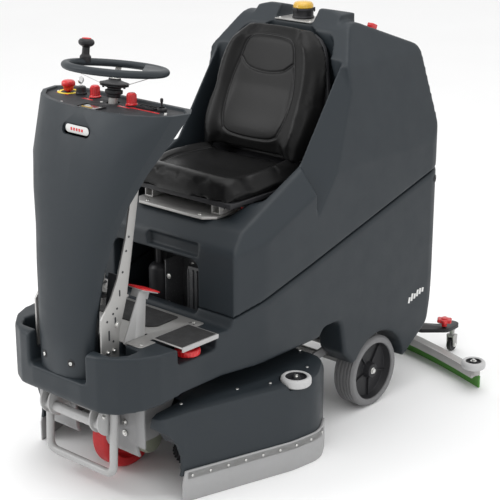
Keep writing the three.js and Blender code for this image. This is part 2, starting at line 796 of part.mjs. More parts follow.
SIDES.forEach(([side, sign]) => {
  const roller = turned(
    rollerProfile(ROLLER_RADIUS, DECK_ROLLER.height, 7),
    [DECK_ROLLER.x, DECK_ROLLER.y, DECK_ROLLER.z + RUN],
  );
  add(`deck_roller_${side}`, onSide(roller, sign), TYRE);
});

// ---- Squeegee ----
const SQUEEGEE = { tipY: 367, middleY: 508, bladeTop: 44, bodyTop: 74, bodyDepth: 38 };
const arcY = (x) => {
  const along = Math.abs(x) / SQUEEGEE_HALF;
  return SQUEEGEE.middleY - (SQUEEGEE.middleY - SQUEEGEE.tipY) * along ** 1.45;
};
// A strip that follows the squeegee's curve, from its front face to its back face.
function curvedStrip(front, back, half, z0, z1) {
  const steps = 10;
  const xs = Array.from({ length: steps + 1 }, (_, i) => -half + (2 * half * i) / steps);
  const points = [
    ...xs.map((x) => new THREE.Vector2(x, arcY(x) + front)),
    ...xs.reverse().map((x) => new THREE.Vector2(x, arcY(x) + back)),
  ];
  return upright(points, z0, z1);
}
const KNOB = { x: 250, y: 530, z: 112 };
const CASTOR = { x: 250, y: 585, plateZ: 96 };
const SIDE_ROLLER = { x: SQUEEGEE_HALF - 8, y: 330, z: 84, height: 28 };

function squeegeeHead() {
  const beam = curvedStrip(-SQUEEGEE.bodyDepth - 10, -10, SQUEEGEE_HALF - 8, 46, SQUEEGEE.bodyTop);
  const wing = upright(
    outline([
      [SQUEEGEE_HALF - 70, 352, 8],
      [SQUEEGEE_HALF + 14, 312, 14],
      [SQUEEGEE_HALF + 14, 346, 14],
      [SQUEEGEE_HALF - 60, 384, 0],
    ]),
    60,
    SIDE_ROLLER.z - RUN,
  );
  const post = rod(6, 60, SIDE_ROLLER.z + SIDE_ROLLER.height, [SIDE_ROLLER.x, SIDE_ROLLER.y, 0]);
  const saddle = upright(outline(twoSided([[90, 400, 10], [90, 470, 0]])), 60, SQUEEGEE.bodyTop);
  return join(beam, both(wing), both(post), saddle);
}
add("squeegee_head", squeegeeHead(), GREY_PAINT);

function squeegeeBlade() {
  const back = curvedStrip(-9, -5, SQUEEGEE_HALF, 0.5, 60);
  const foot = curvedStrip(-5.5, 0, SQUEEGEE_HALF, 0.5, SQUEEGEE.bladeTop);
  return join(back, foot);
}
add("squeegee_blade", squeegeeBlade(), GREEN);

// The tow arm swings up on the chassis and carries the head, its knobs and its castors.
const TOW = { pivotY: 196, pivotZ: 236, half: 60 };
function squeegeeArm() {
  const bar = sideways(
    outline([
      [TOW.pivotY - 18, TOW.pivotZ - 18, 14],
      [TOW.pivotY + 18, TOW.pivotZ + 20, 14],
      [TOW.pivotY + 90, TOW.pivotZ + 4, 20],
      [430, 110, 20],
      [500, 110, 0],
      [500, 78, 0],
      [400, 78, 10],
    ]),
    -TOW.half,
    TOW.half,
  );
  const hollow = block([-TOW.half + SHEET + 2, TOW.half - SHEET - 2], [TOW.pivotY - 30, 380], [60, 300]);
  const cross = upright(
    outline(twoSided([
      [200, 452, 20],
      [CASTOR.x + 24, 520, 30],
      [CASTOR.x + 24, 606, 24],
      [CASTOR.x - 24, 606, 24],
      [CASTOR.x - 34, 540, 10],
      [150, 500, 20],
    ])),
    CASTOR.plateZ,
    CASTOR.plateZ + 14,
  );
  const pin = rod(8, -TOW.half - 12, TOW.half + 12, [0, TOW.pivotY, TOW.pivotZ], "x");
  const stud = rod(5, CASTOR.plateZ, KNOB.z + 14, [KNOB.x, KNOB.y, 0]);
  return join(cut(bar, hollow), cross, pin, both(stud));
}
add("squeegee_arm", squeegeeArm(), BLACK);

const knobProfile = [[5.4, 0], [9, 0], [12, 12], [27, 18], [29, 26], [24, 32], [5.4, 32], [5.4, 0]];
const forkProfile = [[0, 0], [12, 0], [12, 12], [0, 12]];
SIDES.forEach(([side, sign]) => {
  const knob = turned(knobProfile, [KNOB.x, KNOB.y, KNOB.z], "z", 10);
  add(`squeegee_knob_${side}`, onSide(knob, sign), RED);
  const roller = turned(rollerProfile(SIDE_ROLLER_RADIUS, SIDE_ROLLER.height, 7), [
    SIDE_ROLLER.x,
    SIDE_ROLLER.y,
    SIDE_ROLLER.z,
  ]);
  add(`side_roller_${side}`, onSide(roller, sign), TYRE);
  const cheeks = sideways(
    outline([
      [CASTOR.y - 14, 66, 4],
      [CASTOR.y + 14, 66, 4],
      [CASTOR.y + 10, 18, 8],
      [CASTOR.y - 10, 18, 8],
    ]),
    CASTOR.x - 15,
    CASTOR.x + 15,
  );
  const room = block([CASTOR.x - 11.5, CASTOR.x + 11.5], [CASTOR.y - 30, CASTOR.y + 30], [0, 56]);
  const swivel = turned(forkProfile, [CASTOR.x, CASTOR.y, CASTOR.plateZ - 12 - GAP], "z", 12);
  const neck = rod(9, 60, CASTOR.plateZ - 8, [CASTOR.x, CASTOR.y, 0]);
  const axle = rod(3, CASTOR.x - 13, CASTOR.x + 13, [0, CASTOR.y, CASTOR_RADIUS], "x", 8);
  add(`castor_fork_${side}`, onSide(join(cut(cheeks, room), swivel, neck, axle), sign), STEEL);
  const tread = [
    [4, -9],
    [CASTOR_RADIUS - 2, -9],
    [CASTOR_RADIUS, -6],
    [CASTOR_RADIUS, 6],
    [CASTOR_RADIUS - 2, 9],
    [4, 9],
    [4, -9],
  ];
  add(
    `castor_wheel_${side}`,
    onSide(turned(tread, [CASTOR.x, CASTOR.y, CASTOR_RADIUS], "x", 20), sign),
    TYRE,
  );
});

// ---- Column: a steel post inside a moulded cover ----
// Each level of the cover: height, half width, nose, and the back edge of its sides.
const COVER_LEVELS = [
  [388 + GAP, 108, -1126, -1072, 22],
  [500, 111, -1125, -1073, 22],
  [600, 121, -1118, -1066, 22],
  [700, 136, -1106, -1054, 22],
  [800, 157, -1089, -1032, 22],
  [900, 190, -1068, -1006, 22],
  [1000, 230, -1044, -962, 22],
  [1090, 262, -1022, -892, 30],
  [CONSOLE_TOP, 284, -998, -842, 42],
];
const BADGE_Z = 1100;
const COVER_OPEN = 1030; // the cover is open behind up to this height

function coverRing([z, half, nose, back, tail], inset, reach = 0) {
  const steps = 10;
  const points = [];
  const width = half - inset;
  const depth = back - nose;
  for (let i = 0; i <= steps; i += 1) {
    const turn = ((i / steps) * 2 - 1) * (Math.PI / 2);
    const x = width * Math.sign(Math.sin(turn)) * Math.abs(Math.sin(turn)) ** 0.94;
    const y = back - (depth - inset) * Math.abs(Math.cos(turn)) ** 0.86;
    points.push(new THREE.Vector3(x, y, z));
  }
  const rear = back + tail + reach - inset;
  const taper = 8 + 28 * THREE.MathUtils.clamp((z - 500) / (CONSOLE_TOP - 500), 0, 1);
  points.push(new THREE.Vector3(width - taper, rear, z));
  points.push(new THREE.Vector3(-width + taper, rear, z));
  return points;
}

// The room inside the console's rim.
const RIM = 14;
function throat(inset) {
  const rings = [coverRing(COVER_LEVELS.at(-2), inset), coverRing(COVER_LEVELS.at(-1), inset)];
  rings[1].forEach((p) => p.setZ(CONSOLE_TOP + 0.5));
  return skinned(rings);
}

const STEER_TILT = THREE.MathUtils.degToRad(8);
const steered = (geometrySolid) => {
  const geometry = geometryOf(geometrySolid);
  geometry.rotateX(-STEER_TILT);
  geometry.translate(0, STEER_Y, STEER_HEIGHT);
  return solid(geometry);
};
const SHAFT_RADIUS = 14;
const SHAFT_FOOT = -700;
const shaftRoom = () => steered(rod(SHAFT_RADIUS + 6, SHAFT_FOOT - 40, -50, [0, 0, 0]));

function columnCover() {
  const outer = skinned(COVER_LEVELS.map((level) => coverRing(level, 0)));
  const lower = COVER_LEVELS.filter(([z]) => z < COVER_OPEN).map((level) => coverRing(level, SHELL, 90));
  lower[0].forEach((p) => p.setZ(p.z - 20));
  const upper = COVER_LEVELS.filter(([z]) => z >= 1000 && z < CONSOLE_TOP).map((level) => coverRing(
    level,
    SHELL,
  ));
  const slot = endways(
    outline([
      [-58, BADGE_Z - 17, 16],
      [58, BADGE_Z - 17, 16],
      [58, BADGE_Z + 17, 16],
      [-58, BADGE_Z + 17, 16],
    ]),
    -1060,
    -1008,
  );
  return cut(outer, skinned(lower), skinned(upper), throat(RIM), shaftRoom(), slot);
}
add("column_cover", columnCover(), SLATE);

const PANEL_Z = CONSOLE_TOP - 14;
const PANEL_THICK = 8;
const CONTROL_Y = -855;
const KEY_X = -150;
const ESTOP_X = -206;
const WATER_X = -90;
const SPEED_X = 63;
const ROCKERS_X = [112, 146];
const ROCKER_HALF = 14;
const TOGGLE_X = 184;

function consolePanel() {
  const plate = throat(RIM + GAP).intersect(block(
    [-400, 400],
    [-1100, -700],
    [PANEL_Z, PANEL_Z + PANEL_THICK],
  ));
  const keyBarrel = rod(14, PANEL_Z, PANEL_Z + 30, [KEY_X, CONTROL_Y, 0]);
  const keyHole = rod(5, PANEL_Z + 18, PANEL_Z + 60, [KEY_X, CONTROL_Y, 0]);
  const boot = rod(12, PANEL_Z, PANEL_Z + 16, [TOGGLE_X, CONTROL_Y, 0]);
  const wells = ROCKERS_X.map((x) =>
    block(
      [x - ROCKER_HALF - 1, x + ROCKER_HALF + 1],
      [CONTROL_Y - 10, CONTROL_Y + 10],
      [PANEL_Z - 5, PANEL_Z + 20],
    ),
  );
  const toggleHole = rod(7, PANEL_Z - 5, PANEL_Z + 20, [TOGGLE_X, CONTROL_Y, 0]);
  const knobHoles = [ESTOP_X, WATER_X, SPEED_X].map((x) =>
    rod(7.5, PANEL_Z - 5, PANEL_Z + 20, [x, CONTROL_Y, 0]),
  );
  const displayHole = block([-36, 36], [-978, -936], [PANEL_Z + 4, PANEL_Z + 20]);
  const body = join(plate, cut(keyBarrel, keyHole), boot);
  return cut(body, shaftRoom(), ...wells, toggleHole, ...knobHoles, displayHole);
}
add("console_panel", consolePanel(), BLACK_MAT);
add(
  "display",
  block([-36 + GAP, 36 - GAP], [-978 + GAP, -936 - GAP], [PANEL_Z + 4 + GAP, PANEL_Z + 11]),
  GLASS,
);

const PANEL_TOP = PANEL_Z + PANEL_THICK;
const stopProfile = [[0, -12], [6, -12], [6, 4], [15, 4], [17, 14], [21, 16], [21, 30], [16, 34], [0, 34]];
add("emergency_stop_button", turned(stopProfile, [ESTOP_X, CONTROL_Y, PANEL_TOP]), RED);
const dialProfile = [[0, -12], [6, -12], [6, RUN], [15, RUN], [12, 30], [10, 32], [0, 32]];
add("water_knob", turned(dialProfile, [WATER_X, CONTROL_Y, PANEL_TOP], "z", 14), RED);
add("speed_knob", turned(dialProfile, [SPEED_X, CONTROL_Y, PANEL_TOP], "z", 14), RED);
const keyBlade = block(
  [KEY_X - 1.2, KEY_X + 1.2],
  [CONTROL_Y - 4, CONTROL_Y + 4],
  [PANEL_Z + 19, PANEL_Z + 42],
);
const keyBow = block(
  [KEY_X - 1.2, KEY_X + 1.2],
  [CONTROL_Y - 11, CONTROL_Y + 11],
  [PANEL_Z + 36, PANEL_Z + 58],
);
add("ignition_key", join(keyBlade, keyBow), CHROME);
ROCKERS_X.forEach((x, i) => {
  const rocker = sideways(
    outline([
      [CONTROL_Y - 9, PANEL_TOP + 7, 0],
      [CONTROL_Y, PANEL_TOP + 3, 0],
      [CONTROL_Y + 9, PANEL_TOP + 4, 0],
      [CONTROL_Y + 4, PANEL_TOP - 6, 0],
      [CONTROL_Y - 4, PANEL_TOP - 6, 0],
    ]),
    x - ROCKER_HALF,
    x + ROCKER_HALF,
  );
  add(`rocker_switch_${i + 1}`, rocker, BLACK);
});
const toggleProfile = [[0, -6], [2.5, -6], [2.5, 20], [4, 24], [3, 30], [0, 30]];
add("direction_toggle", turned(toggleProfile, [TOGGLE_X, CONTROL_Y, PANEL_TOP + 4], "z", 10), BLACK);

// ---- Steering ----
const SPINNER_TURN = THREE.MathUtils.degToRad(175);
const SPINNER_SEAT = 17; // radius of the clamp that grips the rim
const FILL_TURN = THREE.MathUtils.degToRad(42);
function steeringWheel() {
  const ring = [];
  for (let i = 0; i < 8; i += 1) {
    const turn = (i / 8) * 2 * Math.PI;
    ring.push([STEER_RADIUS + RIM_RADIUS * Math.cos(turn), RIM_RADIUS * 0.8 * Math.sin(turn)]);
  }
  const rim = turned([...ring, ring[0]], [0, 0, 0], "z", 24);
  const segment = block([82, STEER_RADIUS], [-140, 140], [-8, 8]).intersect(rod(
    STEER_RADIUS - 2,
    -9,
    9,
    [0, 0, 0],
    "z",
    24,
  ));
  const filled = join(rim, segment);
  const geometry = geometryOf(filled);
  geometry.rotateZ(FILL_TURN);
  const spokes = [90, 210, 330].map((degrees) => {
    const spoke = sideways(outline([[30, -42, 0], [30, -38, 0], [136, -5, 0], [142, -9, 0]]), -6, 6);
    const turnedSpoke = geometryOf(spoke);
    turnedSpoke.rotateZ(THREE.MathUtils.degToRad(degrees) + FILL_TURN);
    return solid(turnedSpoke);
  });
  const hub = turned(
    [
      [SHAFT_RADIUS + GAP, -46],
      [40, -46],
      [40, -36],
      [26, -30],
      [SHAFT_RADIUS + GAP, -30],
      [SHAFT_RADIUS + GAP, -46],
    ],
    [0, 0, 0],
    "z",
    16,
  );
  const seat = rod(SPINNER_SEAT + RUN, 0, 40, [
    STEER_RADIUS * Math.cos(SPINNER_TURN),
    STEER_RADIUS * Math.sin(SPINNER_TURN),
    0,
  ]);
  return steered(cut(join(solid(geometry), hub, ...spokes), seat));
}
add("steering_wheel", steeringWheel(), SLATE);

function steeringColumn() {
  const shaft = rod(SHAFT_RADIUS, SHAFT_FOOT, -22, [0, 0, 0]);
  const collar = turned(
    [
      [0, -82],
      [21, -82],
      [21, -74],
      [33, -70],
      [33, -58],
      [42, -54],
      [42, -46 - GAP],
      [0, -46 - GAP],
    ],
    [0, 0, 0],
    "z",
    16,
  );
  return steered(join(shaft, collar));
}
add("steering_column", steeringColumn(), BLACK);

function spinner() {
  const profile = [
    [0, 0],
    [SPINNER_SEAT, 0],
    [SPINNER_SEAT, 18],
    [12, 22],
    [11, 42],
    [22, 50],
    [24, 58],
    [17, 68],
    [0, 71],
  ];
  const lift = GAP;
  return steered(turned(
    profile,
    [STEER_RADIUS * Math.cos(SPINNER_TURN), STEER_RADIUS * Math.sin(SPINNER_TURN), lift],
    "z",
    14,
  ));
}
add("spinner_knob", spinner(), BLACK);

// Folded steel post that the cover and the console stand on.
const POST_X = 144;
function columnFrame() {
  const cheek = sideways(
    outline([
      [-1076, FOOT_TOP - 60 + GAP, 0],
      [-1010, FOOT_TOP - 60 + GAP, 0],
      [-1006, 520, 0],
      [-973, 619, 0],
      [-944, 773, 0],
      [-912, 940, 0],
      [-898, 1006, 0],
      [-926, 1006, 0],
      [-948, 899, 0],
      [-971, 795, 0],
      [-1007, 683, 0],
      [-1034, 630, 0],
      [-1076, 576, 0],
    ]),
    POST_X - SHEET,
    POST_X,
  );
  const foot = block([-POST_X, POST_X], [-1036, -1010], [FOOT_TOP - 60 + GAP, FOOT_TOP - 60 + SHEET]);
  const bearing = block([-POST_X, POST_X], [-996, -965], [620, 620 + SHEET]);
  const bearingTongue = block([-50, 50], [-970, -915], [620, 620 + SHEET]);
  const ledge = block([-POST_X, POST_X], [-934, -905], [1000, 1000 + SHEET]);
  return cut(join(both(cheek), foot, bearing, bearingTongue, ledge), shaftRoom());
}
add("column_frame", columnFrame(), STEEL);

// ---- Footwell ----
const PLATE_TOP = FOOT_TOP + 3;
function footPlate() {
  const plate = upright(
    outline([
      [-219, -995, 12],
      [219, -995, 12],
      [219, -934, 0],
      [194, -934, 0],
      [194, -768, 0],
      [222, -762, 6],
      [222, -728, 8],
      [-222, -728, 8],
    ]),
    FOOT_TOP + GAP,
    PLATE_TOP,
  );
  const slot = block([PEDAL.x - 5, PEDAL.x + 5], [-1010, -902], [400, PLATE_TOP + 10]);
  const lug = block(
    [PEDAL.x - 10, PEDAL.x - 5],
    [PEDAL.pivotY - 14, PEDAL.pivotY + 14],
    [448, PLATE_TOP - 1],
  );
  const farLug = block(
    [PEDAL.x + 5, PEDAL.x + 10],
    [PEDAL.pivotY - 14, PEDAL.pivotY + 14],
    [448, PLATE_TOP - 1],
  );
  return cut(join(plate, lug, farLug), slot);
}
add("foot_plate", footPlate(), STEEL);
const matPlan = [[-190, -868, 20], [116, -868, 24], [138, -844, 14], [134, -748, 8], [-190, -748, 8]];
add("foot_mat", upright(outline(matPlan), PLATE_TOP + GAP, PLATE_TOP + 4), BLACK_MAT);

// The pedal's flat stem stands in a slot of the foot plate and leans back to a tilted pad.
const onPedal = (manifold) => {
  const geometry = geometryOf(manifold);
  geometry.rotateX(THREE.MathUtils.degToRad(-PEDAL.tilt));
  geometry.translate(0, PEDAL.padY, PEDAL.padZ);
  return solid(geometry);
};
const PAD_LEFT = 106;
const PAD_RIGHT = 172;
function pedalLever() {
  const stem = sideways(
    outline([
      [PEDAL.pivotY - 12, PEDAL.pivotZ - 10, 0],
      [PEDAL.pivotY + 12, PEDAL.pivotZ - 10, 0],
      [-914, FOOT_TOP, 0],
      [-906, 600, 0],
      [-904, 619, 0],
      [-932, 630, 0],
      [-941, 606, 0],
      [-998, FOOT_TOP, 0],
    ]),
    PEDAL.x - 2.5,
    PEDAL.x + 2.5,
  );
  const pin = rod(4, PEDAL.x - 5 + GAP, PEDAL.x + 5 - GAP, [0, PEDAL.pivotY, PEDAL.pivotZ], "x", 10);
  const rest = onPedal(block([PAD_LEFT + 3, PAD_RIGHT - 3], [-35, 35], [-7, -4]));
  const bracket = onPedal(block([118, PEDAL.x + 2], [-24, 14], [-30, -5]));
  return join(stem, pin, rest, bracket);
}
add("pedal_lever", pedalLever(), STEEL);
add("pedal_pad", onPedal(block([PAD_LEFT, PAD_RIGHT], [-38, 38], [-4 + GAP, 1])), RED);

// Filler: a red screw cap in the side pocket under a hinged lid.
const CAP = { x: 262, y: -846, radius: 38 };
const capProfile = [[0, 0], [CAP.radius, 0], [CAP.radius, 16], [CAP.radius - 4, 20], [0, 20]];
add("filler_cap", turned(capProfile, [CAP.x, CAP.y, LID_POCKET.z + GAP], "z", 20), RED);
const LID_EDGE = 318;
function fillerLid() {
  const panel = block(
    [194 + GAP, LID_EDGE],
    [LID_POCKET.y0 + 4, LID_POCKET.y1 - 4],
    [PLATE_TOP + GAP, PLATE_TOP + 3],
  );
  const lip = block(
    [LID_EDGE - 3, LID_EDGE],
    [LID_POCKET.y0 + 4, LID_POCKET.y1 - 4],
    [PLATE_TOP - 9, PLATE_TOP + 3],
  );
  return join(panel, lip);
}
add("filler_lid", fillerLid(), STEEL);

// ---- Battery ----
const battery = block([-BAY_HALF + 15, BAY_HALF - 15], [-520, -125], [BAY_FLOOR + GAP, 640]);
const terminals = [-120, 120].map((x) => rod(9, 638, 652, [x, -480, 0]));
add("battery_pack", join(battery, ...terminals), BLACK_MAT);

// ---- Seat ----
const RAIL_X = 160;
const RAIL_TOP = SEAT_TOP + 36;
function seatPlate() {
  const plate = upright(
    outline(twoSided([[134, -645, 4], [168, -612, 4], [168, -230, 4]])),
    SEAT_TOP + GAP,
    SEAT_TOP + 9,
  );
  const rail = cut(
    block([RAIL_X - 34, RAIL_X], [-592, -230], [SEAT_TOP + 8, RAIL_TOP]),
    block([RAIL_X - 30, RAIL_X - 4], [-600, -220], [SEAT_TOP + 12, RAIL_TOP - 4]),
    block([RAIL_X - 22, RAIL_X - 12], [-600, -220], [RAIL_TOP - 10, RAIL_TOP + 5]),
  );
  return join(plate, both(rail));
}
add("seat_plate", seatPlate(), GREY_PAINT);

const SEAT_FRONT = -640;
const SEAT_REAR = -196;
const BACK_TOP = 1278;
const SHELL_LOW = [SEAT_REAR - 6, 869];
const SHELL_HIGH = [-112, BACK_TOP - 14];
const backrestAt = (z) =>
  SHELL_LOW[0] + ((SHELL_HIGH[0] - SHELL_LOW[0]) * (z - SHELL_LOW[1])) / (SHELL_HIGH[1] - SHELL_LOW[1]);
function seatShell() {
  const pan = sideways(
    outline([
      [SEAT_FRONT + 26, RAIL_TOP + 6, 0],
      [SEAT_REAR - 40, RAIL_TOP + 6, 0],
      [SEAT_REAR, RAIL_TOP + 28, 0],
      [SEAT_REAR + 14, SHELL_LOW[1], 0],
      [SHELL_HIGH[0] + 14, SHELL_HIGH[1], 0],
      [...SHELL_HIGH, 0],
      [...SHELL_LOW, 0],
      [SEAT_REAR - 48, RAIL_TOP + 22, 0],
      [SEAT_FRONT + 26, RAIL_TOP + 22, 0],
    ]),
    -SEAT_HALF + 14,
    SEAT_HALF - 14,
  );
  const crown = endways(
    outline(twoSided([
      [SEAT_HALF - 14, RAIL_TOP, 0],
      [SEAT_HALF - 14, 1080, 60],
      [SEAT_HALF - 70, BACK_TOP - 8, 96],
    ])),
    -700,
    0,
  );
  const slider = block([RAIL_X - 20, RAIL_X - 14], [-560, -280], [RAIL_TOP - 12, RAIL_TOP + 7]);
  return join(pan.intersect(crown), both(slider));
}
add("seat_shell", seatShell(), BLACK);

function seatCushion() {
  const side = sideways(
    outline([
      [SEAT_FRONT, RAIL_TOP + 22 + GAP, 16],
      [SEAT_REAR - 66, RAIL_TOP + 22 + GAP, 0],
      [SEAT_REAR - 62, 880, 0],
      [SEAT_REAR - 110, 898, 20],
      [SEAT_FRONT + 30, 906, 40],
    ]),
    -SEAT_HALF,
    SEAT_HALF,
    8,
  );
  return side;
}
add("seat_cushion", seatCushion(), VINYL);

function backCushion() {
  const side = sideways(
    outline([
      [backrestAt(906) - GAP, 906, 14],
      [backrestAt(BACK_TOP) - GAP, BACK_TOP, 20],
      [-166, BACK_TOP, 30],
      [-214, 1100, 80],
      [-290, 906, 20],
    ]),
    -SEAT_HALF,
    SEAT_HALF,
    8,
  );
  const crown = endways(
    outline(
      twoSided([
        [SEAT_HALF, 880, 0],
        [SEAT_HALF - 2, 1080, 80],
        [SEAT_HALF - 62, BACK_TOP + 6, 105],
      ]),
      5,
    ),
    -400,
    0,
  );
  return side.intersect(crown);
}
add("back_cushion", backCushion(), VINYL);

// A lever beside the rail frees the seat to slide.
const LEVER = { x: 186, y: -330, z: RAIL_TOP - 22 };
function seatLever() {
  const bar = sideways(
    outline([
      [LEVER.y - 150, LEVER.z - 2, 0],
      [LEVER.y + 10, LEVER.z - 6, 4],
      [LEVER.y + 10, LEVER.z + 8, 4],
      [LEVER.y - 150, LEVER.z + 8, 0],
    ]),
    LEVER.x - 3,
    LEVER.x + 3,
  );
  const grip = sideways(
    outline([
      [LEVER.y - 186, LEVER.z - 5, 5],
      [LEVER.y - 148, LEVER.z - 5, 5],
      [LEVER.y - 148, LEVER.z + 11, 5],
      [LEVER.y - 186, LEVER.z + 11, 5],
    ]),
    LEVER.x - 7,
    LEVER.x + 7,
  );
  const pin = rod(5, RAIL_X + GAP, LEVER.x, [0, LEVER.y, LEVER.z + 1], "x", 10);
  return join(bar, grip, pin);
}
add("seat_lever", seatLever(), STEEL);

export default machine;
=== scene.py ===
# %% [markdown]
# # Ride-on scrubber drier
#
# A battery floor-cleaning machine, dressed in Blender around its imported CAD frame. The CAD says
# where everything is and how it moves. This file gives each part its soft mouldings, its small
# fittings and its materials, and lights it on a pale floor.
#
# Positions in the lists below are millimetres from the floor point under the middle of the rear
# axle, the nose towards -Y and the machine's left side towards +X. `mm` turns them into the
# frame's metres.

import json
import math

import bmesh
import bpy
import numpy as np
from mathutils import Matrix, Vector
from mathutils.bvhtree import BVHTree


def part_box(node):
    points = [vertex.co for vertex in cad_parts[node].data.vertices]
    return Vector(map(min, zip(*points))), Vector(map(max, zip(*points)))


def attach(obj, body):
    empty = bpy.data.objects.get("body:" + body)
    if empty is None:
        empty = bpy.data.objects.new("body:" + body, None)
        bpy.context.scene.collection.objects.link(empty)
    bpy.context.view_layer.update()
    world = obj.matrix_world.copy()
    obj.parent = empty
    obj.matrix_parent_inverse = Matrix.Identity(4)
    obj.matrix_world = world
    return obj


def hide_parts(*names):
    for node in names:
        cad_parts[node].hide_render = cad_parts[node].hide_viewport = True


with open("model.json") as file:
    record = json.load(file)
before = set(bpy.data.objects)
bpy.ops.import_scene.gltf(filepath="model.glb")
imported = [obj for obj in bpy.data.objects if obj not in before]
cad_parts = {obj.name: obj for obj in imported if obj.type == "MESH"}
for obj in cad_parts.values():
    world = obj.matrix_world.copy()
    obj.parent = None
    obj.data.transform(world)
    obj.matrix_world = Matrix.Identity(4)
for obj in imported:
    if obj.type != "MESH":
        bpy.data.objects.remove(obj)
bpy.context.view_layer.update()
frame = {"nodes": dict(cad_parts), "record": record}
AXLE_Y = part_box("rear_axle")[0].y + (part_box("rear_axle")[1].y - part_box("rear_axle")[0].y) / 2
SIDES = (("left", 1), ("right", -1))


def mm(x, y, z):
    """A place given in millimetres from the rear axle, in the frame's metres."""
    return Vector((x / 1000, AXLE_Y + y / 1000, z / 1000))


# %% [markdown]
# ## Shader maths
#
# A `Wire` wraps one output socket, so that a material reads as arithmetic: `a * 0.3 + b`. Colours
# and vectors go through the Mix and Vector Math nodes, and every other node through `Shader.node`.


# %% Shader maths
class Wire:
    """One output socket that can be added, multiplied and mixed."""

    def __init__(self, shader, socket):
        self.shader = shader
        self.socket = socket

    def _math(self, operation, *values):
        node = self.shader.tree.nodes.new("ShaderNodeMath")
        node.operation = operation
        for slot, value in zip(node.inputs, values):
            self.shader.feed(slot, value)
        return Wire(self.shader, node.outputs[0])

    def __add__(self, other):
        return self._math("ADD", self, other)

    def __radd__(self, other):
        return self._math("ADD", other, self)

    def __sub__(self, other):
        return self._math("SUBTRACT", self, other)

    def __rsub__(self, other):
        return self._math("SUBTRACT", other, self)

    def __mul__(self, other):
        return self._math("MULTIPLY", self, other)

    def __rmul__(self, other):
        return self._math("MULTIPLY", other, self)

    def __truediv__(self, other):
        return self._math("DIVIDE", self, other)

    def __pow__(self, other):
        return self._math("POWER", self, other)

    def absolute(self):
        return self._math("ABSOLUTE", self)

    def wave(self):
        return self._math("SINE", self)

    def clamped(self, low=0.0, high=1.0):
        node = self.shader.tree.nodes.new("ShaderNodeClamp")
        for name, value in (("Value", self), ("Min", low), ("Max", high)):
            self.shader.feed(node.inputs[name], value)
        return Wire(self.shader, node.outputs[0])

    def ramped(self, low, high, to_low=0.0, to_high=1.0):
        """This value's run from low to high, laid out from to_low to to_high."""
        node = self.shader.tree.nodes.new("ShaderNodeMapRange")
        for name, value in zip(
            ("Value", "From Min", "From Max", "To Min", "To Max"), (self, low, high, to_low, to_high)
        ):
            self.shader.feed(node.inputs[name], value)
        return Wire(self.shader, node.outputs[0])


class Shader:
    """A node material with one Principled shader."""

    def __init__(self, name):
        self.material = bpy.data.materials.new(name)
        self.material.use_nodes = True
        self.tree = self.material.node_tree
        self.surface = next(n for n in self.tree.nodes if n.type == "BSDF_PRINCIPLED")

    def feed(self, slot, value):
        if isinstance(value, Wire):
            self.tree.links.new(value.socket, slot)
        elif hasattr(
            slot.default_value, "__len__"
        ) and len(slot.default_value) == 4 and len(value) == 3:
            slot.default_value = (*value, 1.0)
        else:
            slot.default_value = value

    def node(self, kind, settings=(), values=(), out=0):
        """Any node: its type, its settings, its socket values, and which output is wanted."""
        made = self.tree.nodes.new(kind)
        for key, value in dict(settings).items():
            setattr(made, key, value)
        for key, value in dict(values).items():
            self.feed(made.inputs[key], value)
        return Wire(self, made.outputs[out])

    def place(self):
        return self.node("ShaderNodeTexCoord", out="Object")

    def axis(self, letter):
        return self.node("ShaderNodeSeparateXYZ", values={0: self.place()}, out="XYZ".index(letter))

    def stretched(self, x, y, z):
        settings = {"operation": "MULTIPLY"}
        return self.node("ShaderNodeVectorMath", settings, {0: self.place(), 1: (x, y, z)})

    def clouds(self, scale, detail=3.0, rough=0.5, where=None):
        values = {"Vector": where or self.place(), "Scale": scale, "Detail": detail, "Roughness": rough}
        return self.node("ShaderNodeTexNoise", values=values, out=0)

    def pebbles(self, scale, where=None):
        values = {"Vector": where or self.place(), "Scale": scale}
        return self.node("ShaderNodeTexVoronoi", {"feature": "F1"}, values, out="Distance")

    def edges(self):
        """1 along raised edges, 0 elsewhere."""
        pointed = self.node("ShaderNodeNewGeometry", out="Pointiness")
        return pointed.ramped(0.52, 0.6).clamped()

    def mixed(self, factor, first, second):
        made = self.tree.nodes.new("ShaderNodeMix")
        made.data_type = "RGBA"
        for slot, value in (
            (made.inputs[0], factor), (made.inputs[6], first), (made.inputs[7], second)
        ):
            self.feed(slot, value)
        return Wire(self, made.outputs[2])

    def bumps(self, *layers):
        """Stacked bumps, each a height, a strength and a distance in metres."""
        normal = None
        for height, strength, distance in layers:
            values = {"Height": height, "Strength": strength, "Distance": distance}
            if normal is not None:
                values["Normal"] = normal
            normal = self.node("ShaderNodeBump", values=values)
        self.feed(self.surface.inputs["Normal"], normal)

    def set(self, **values):
        for key, value in values.items():
            self.feed(self.surface.inputs[key.replace("_", " ")], value)
        return self


# %% [markdown]
# ## Materials
#
# One for each finish. Each has a base colour that drifts a little, a roughness that varies, and a
# fine grain, with rubbed edges and floor dust where the real machine would show them.


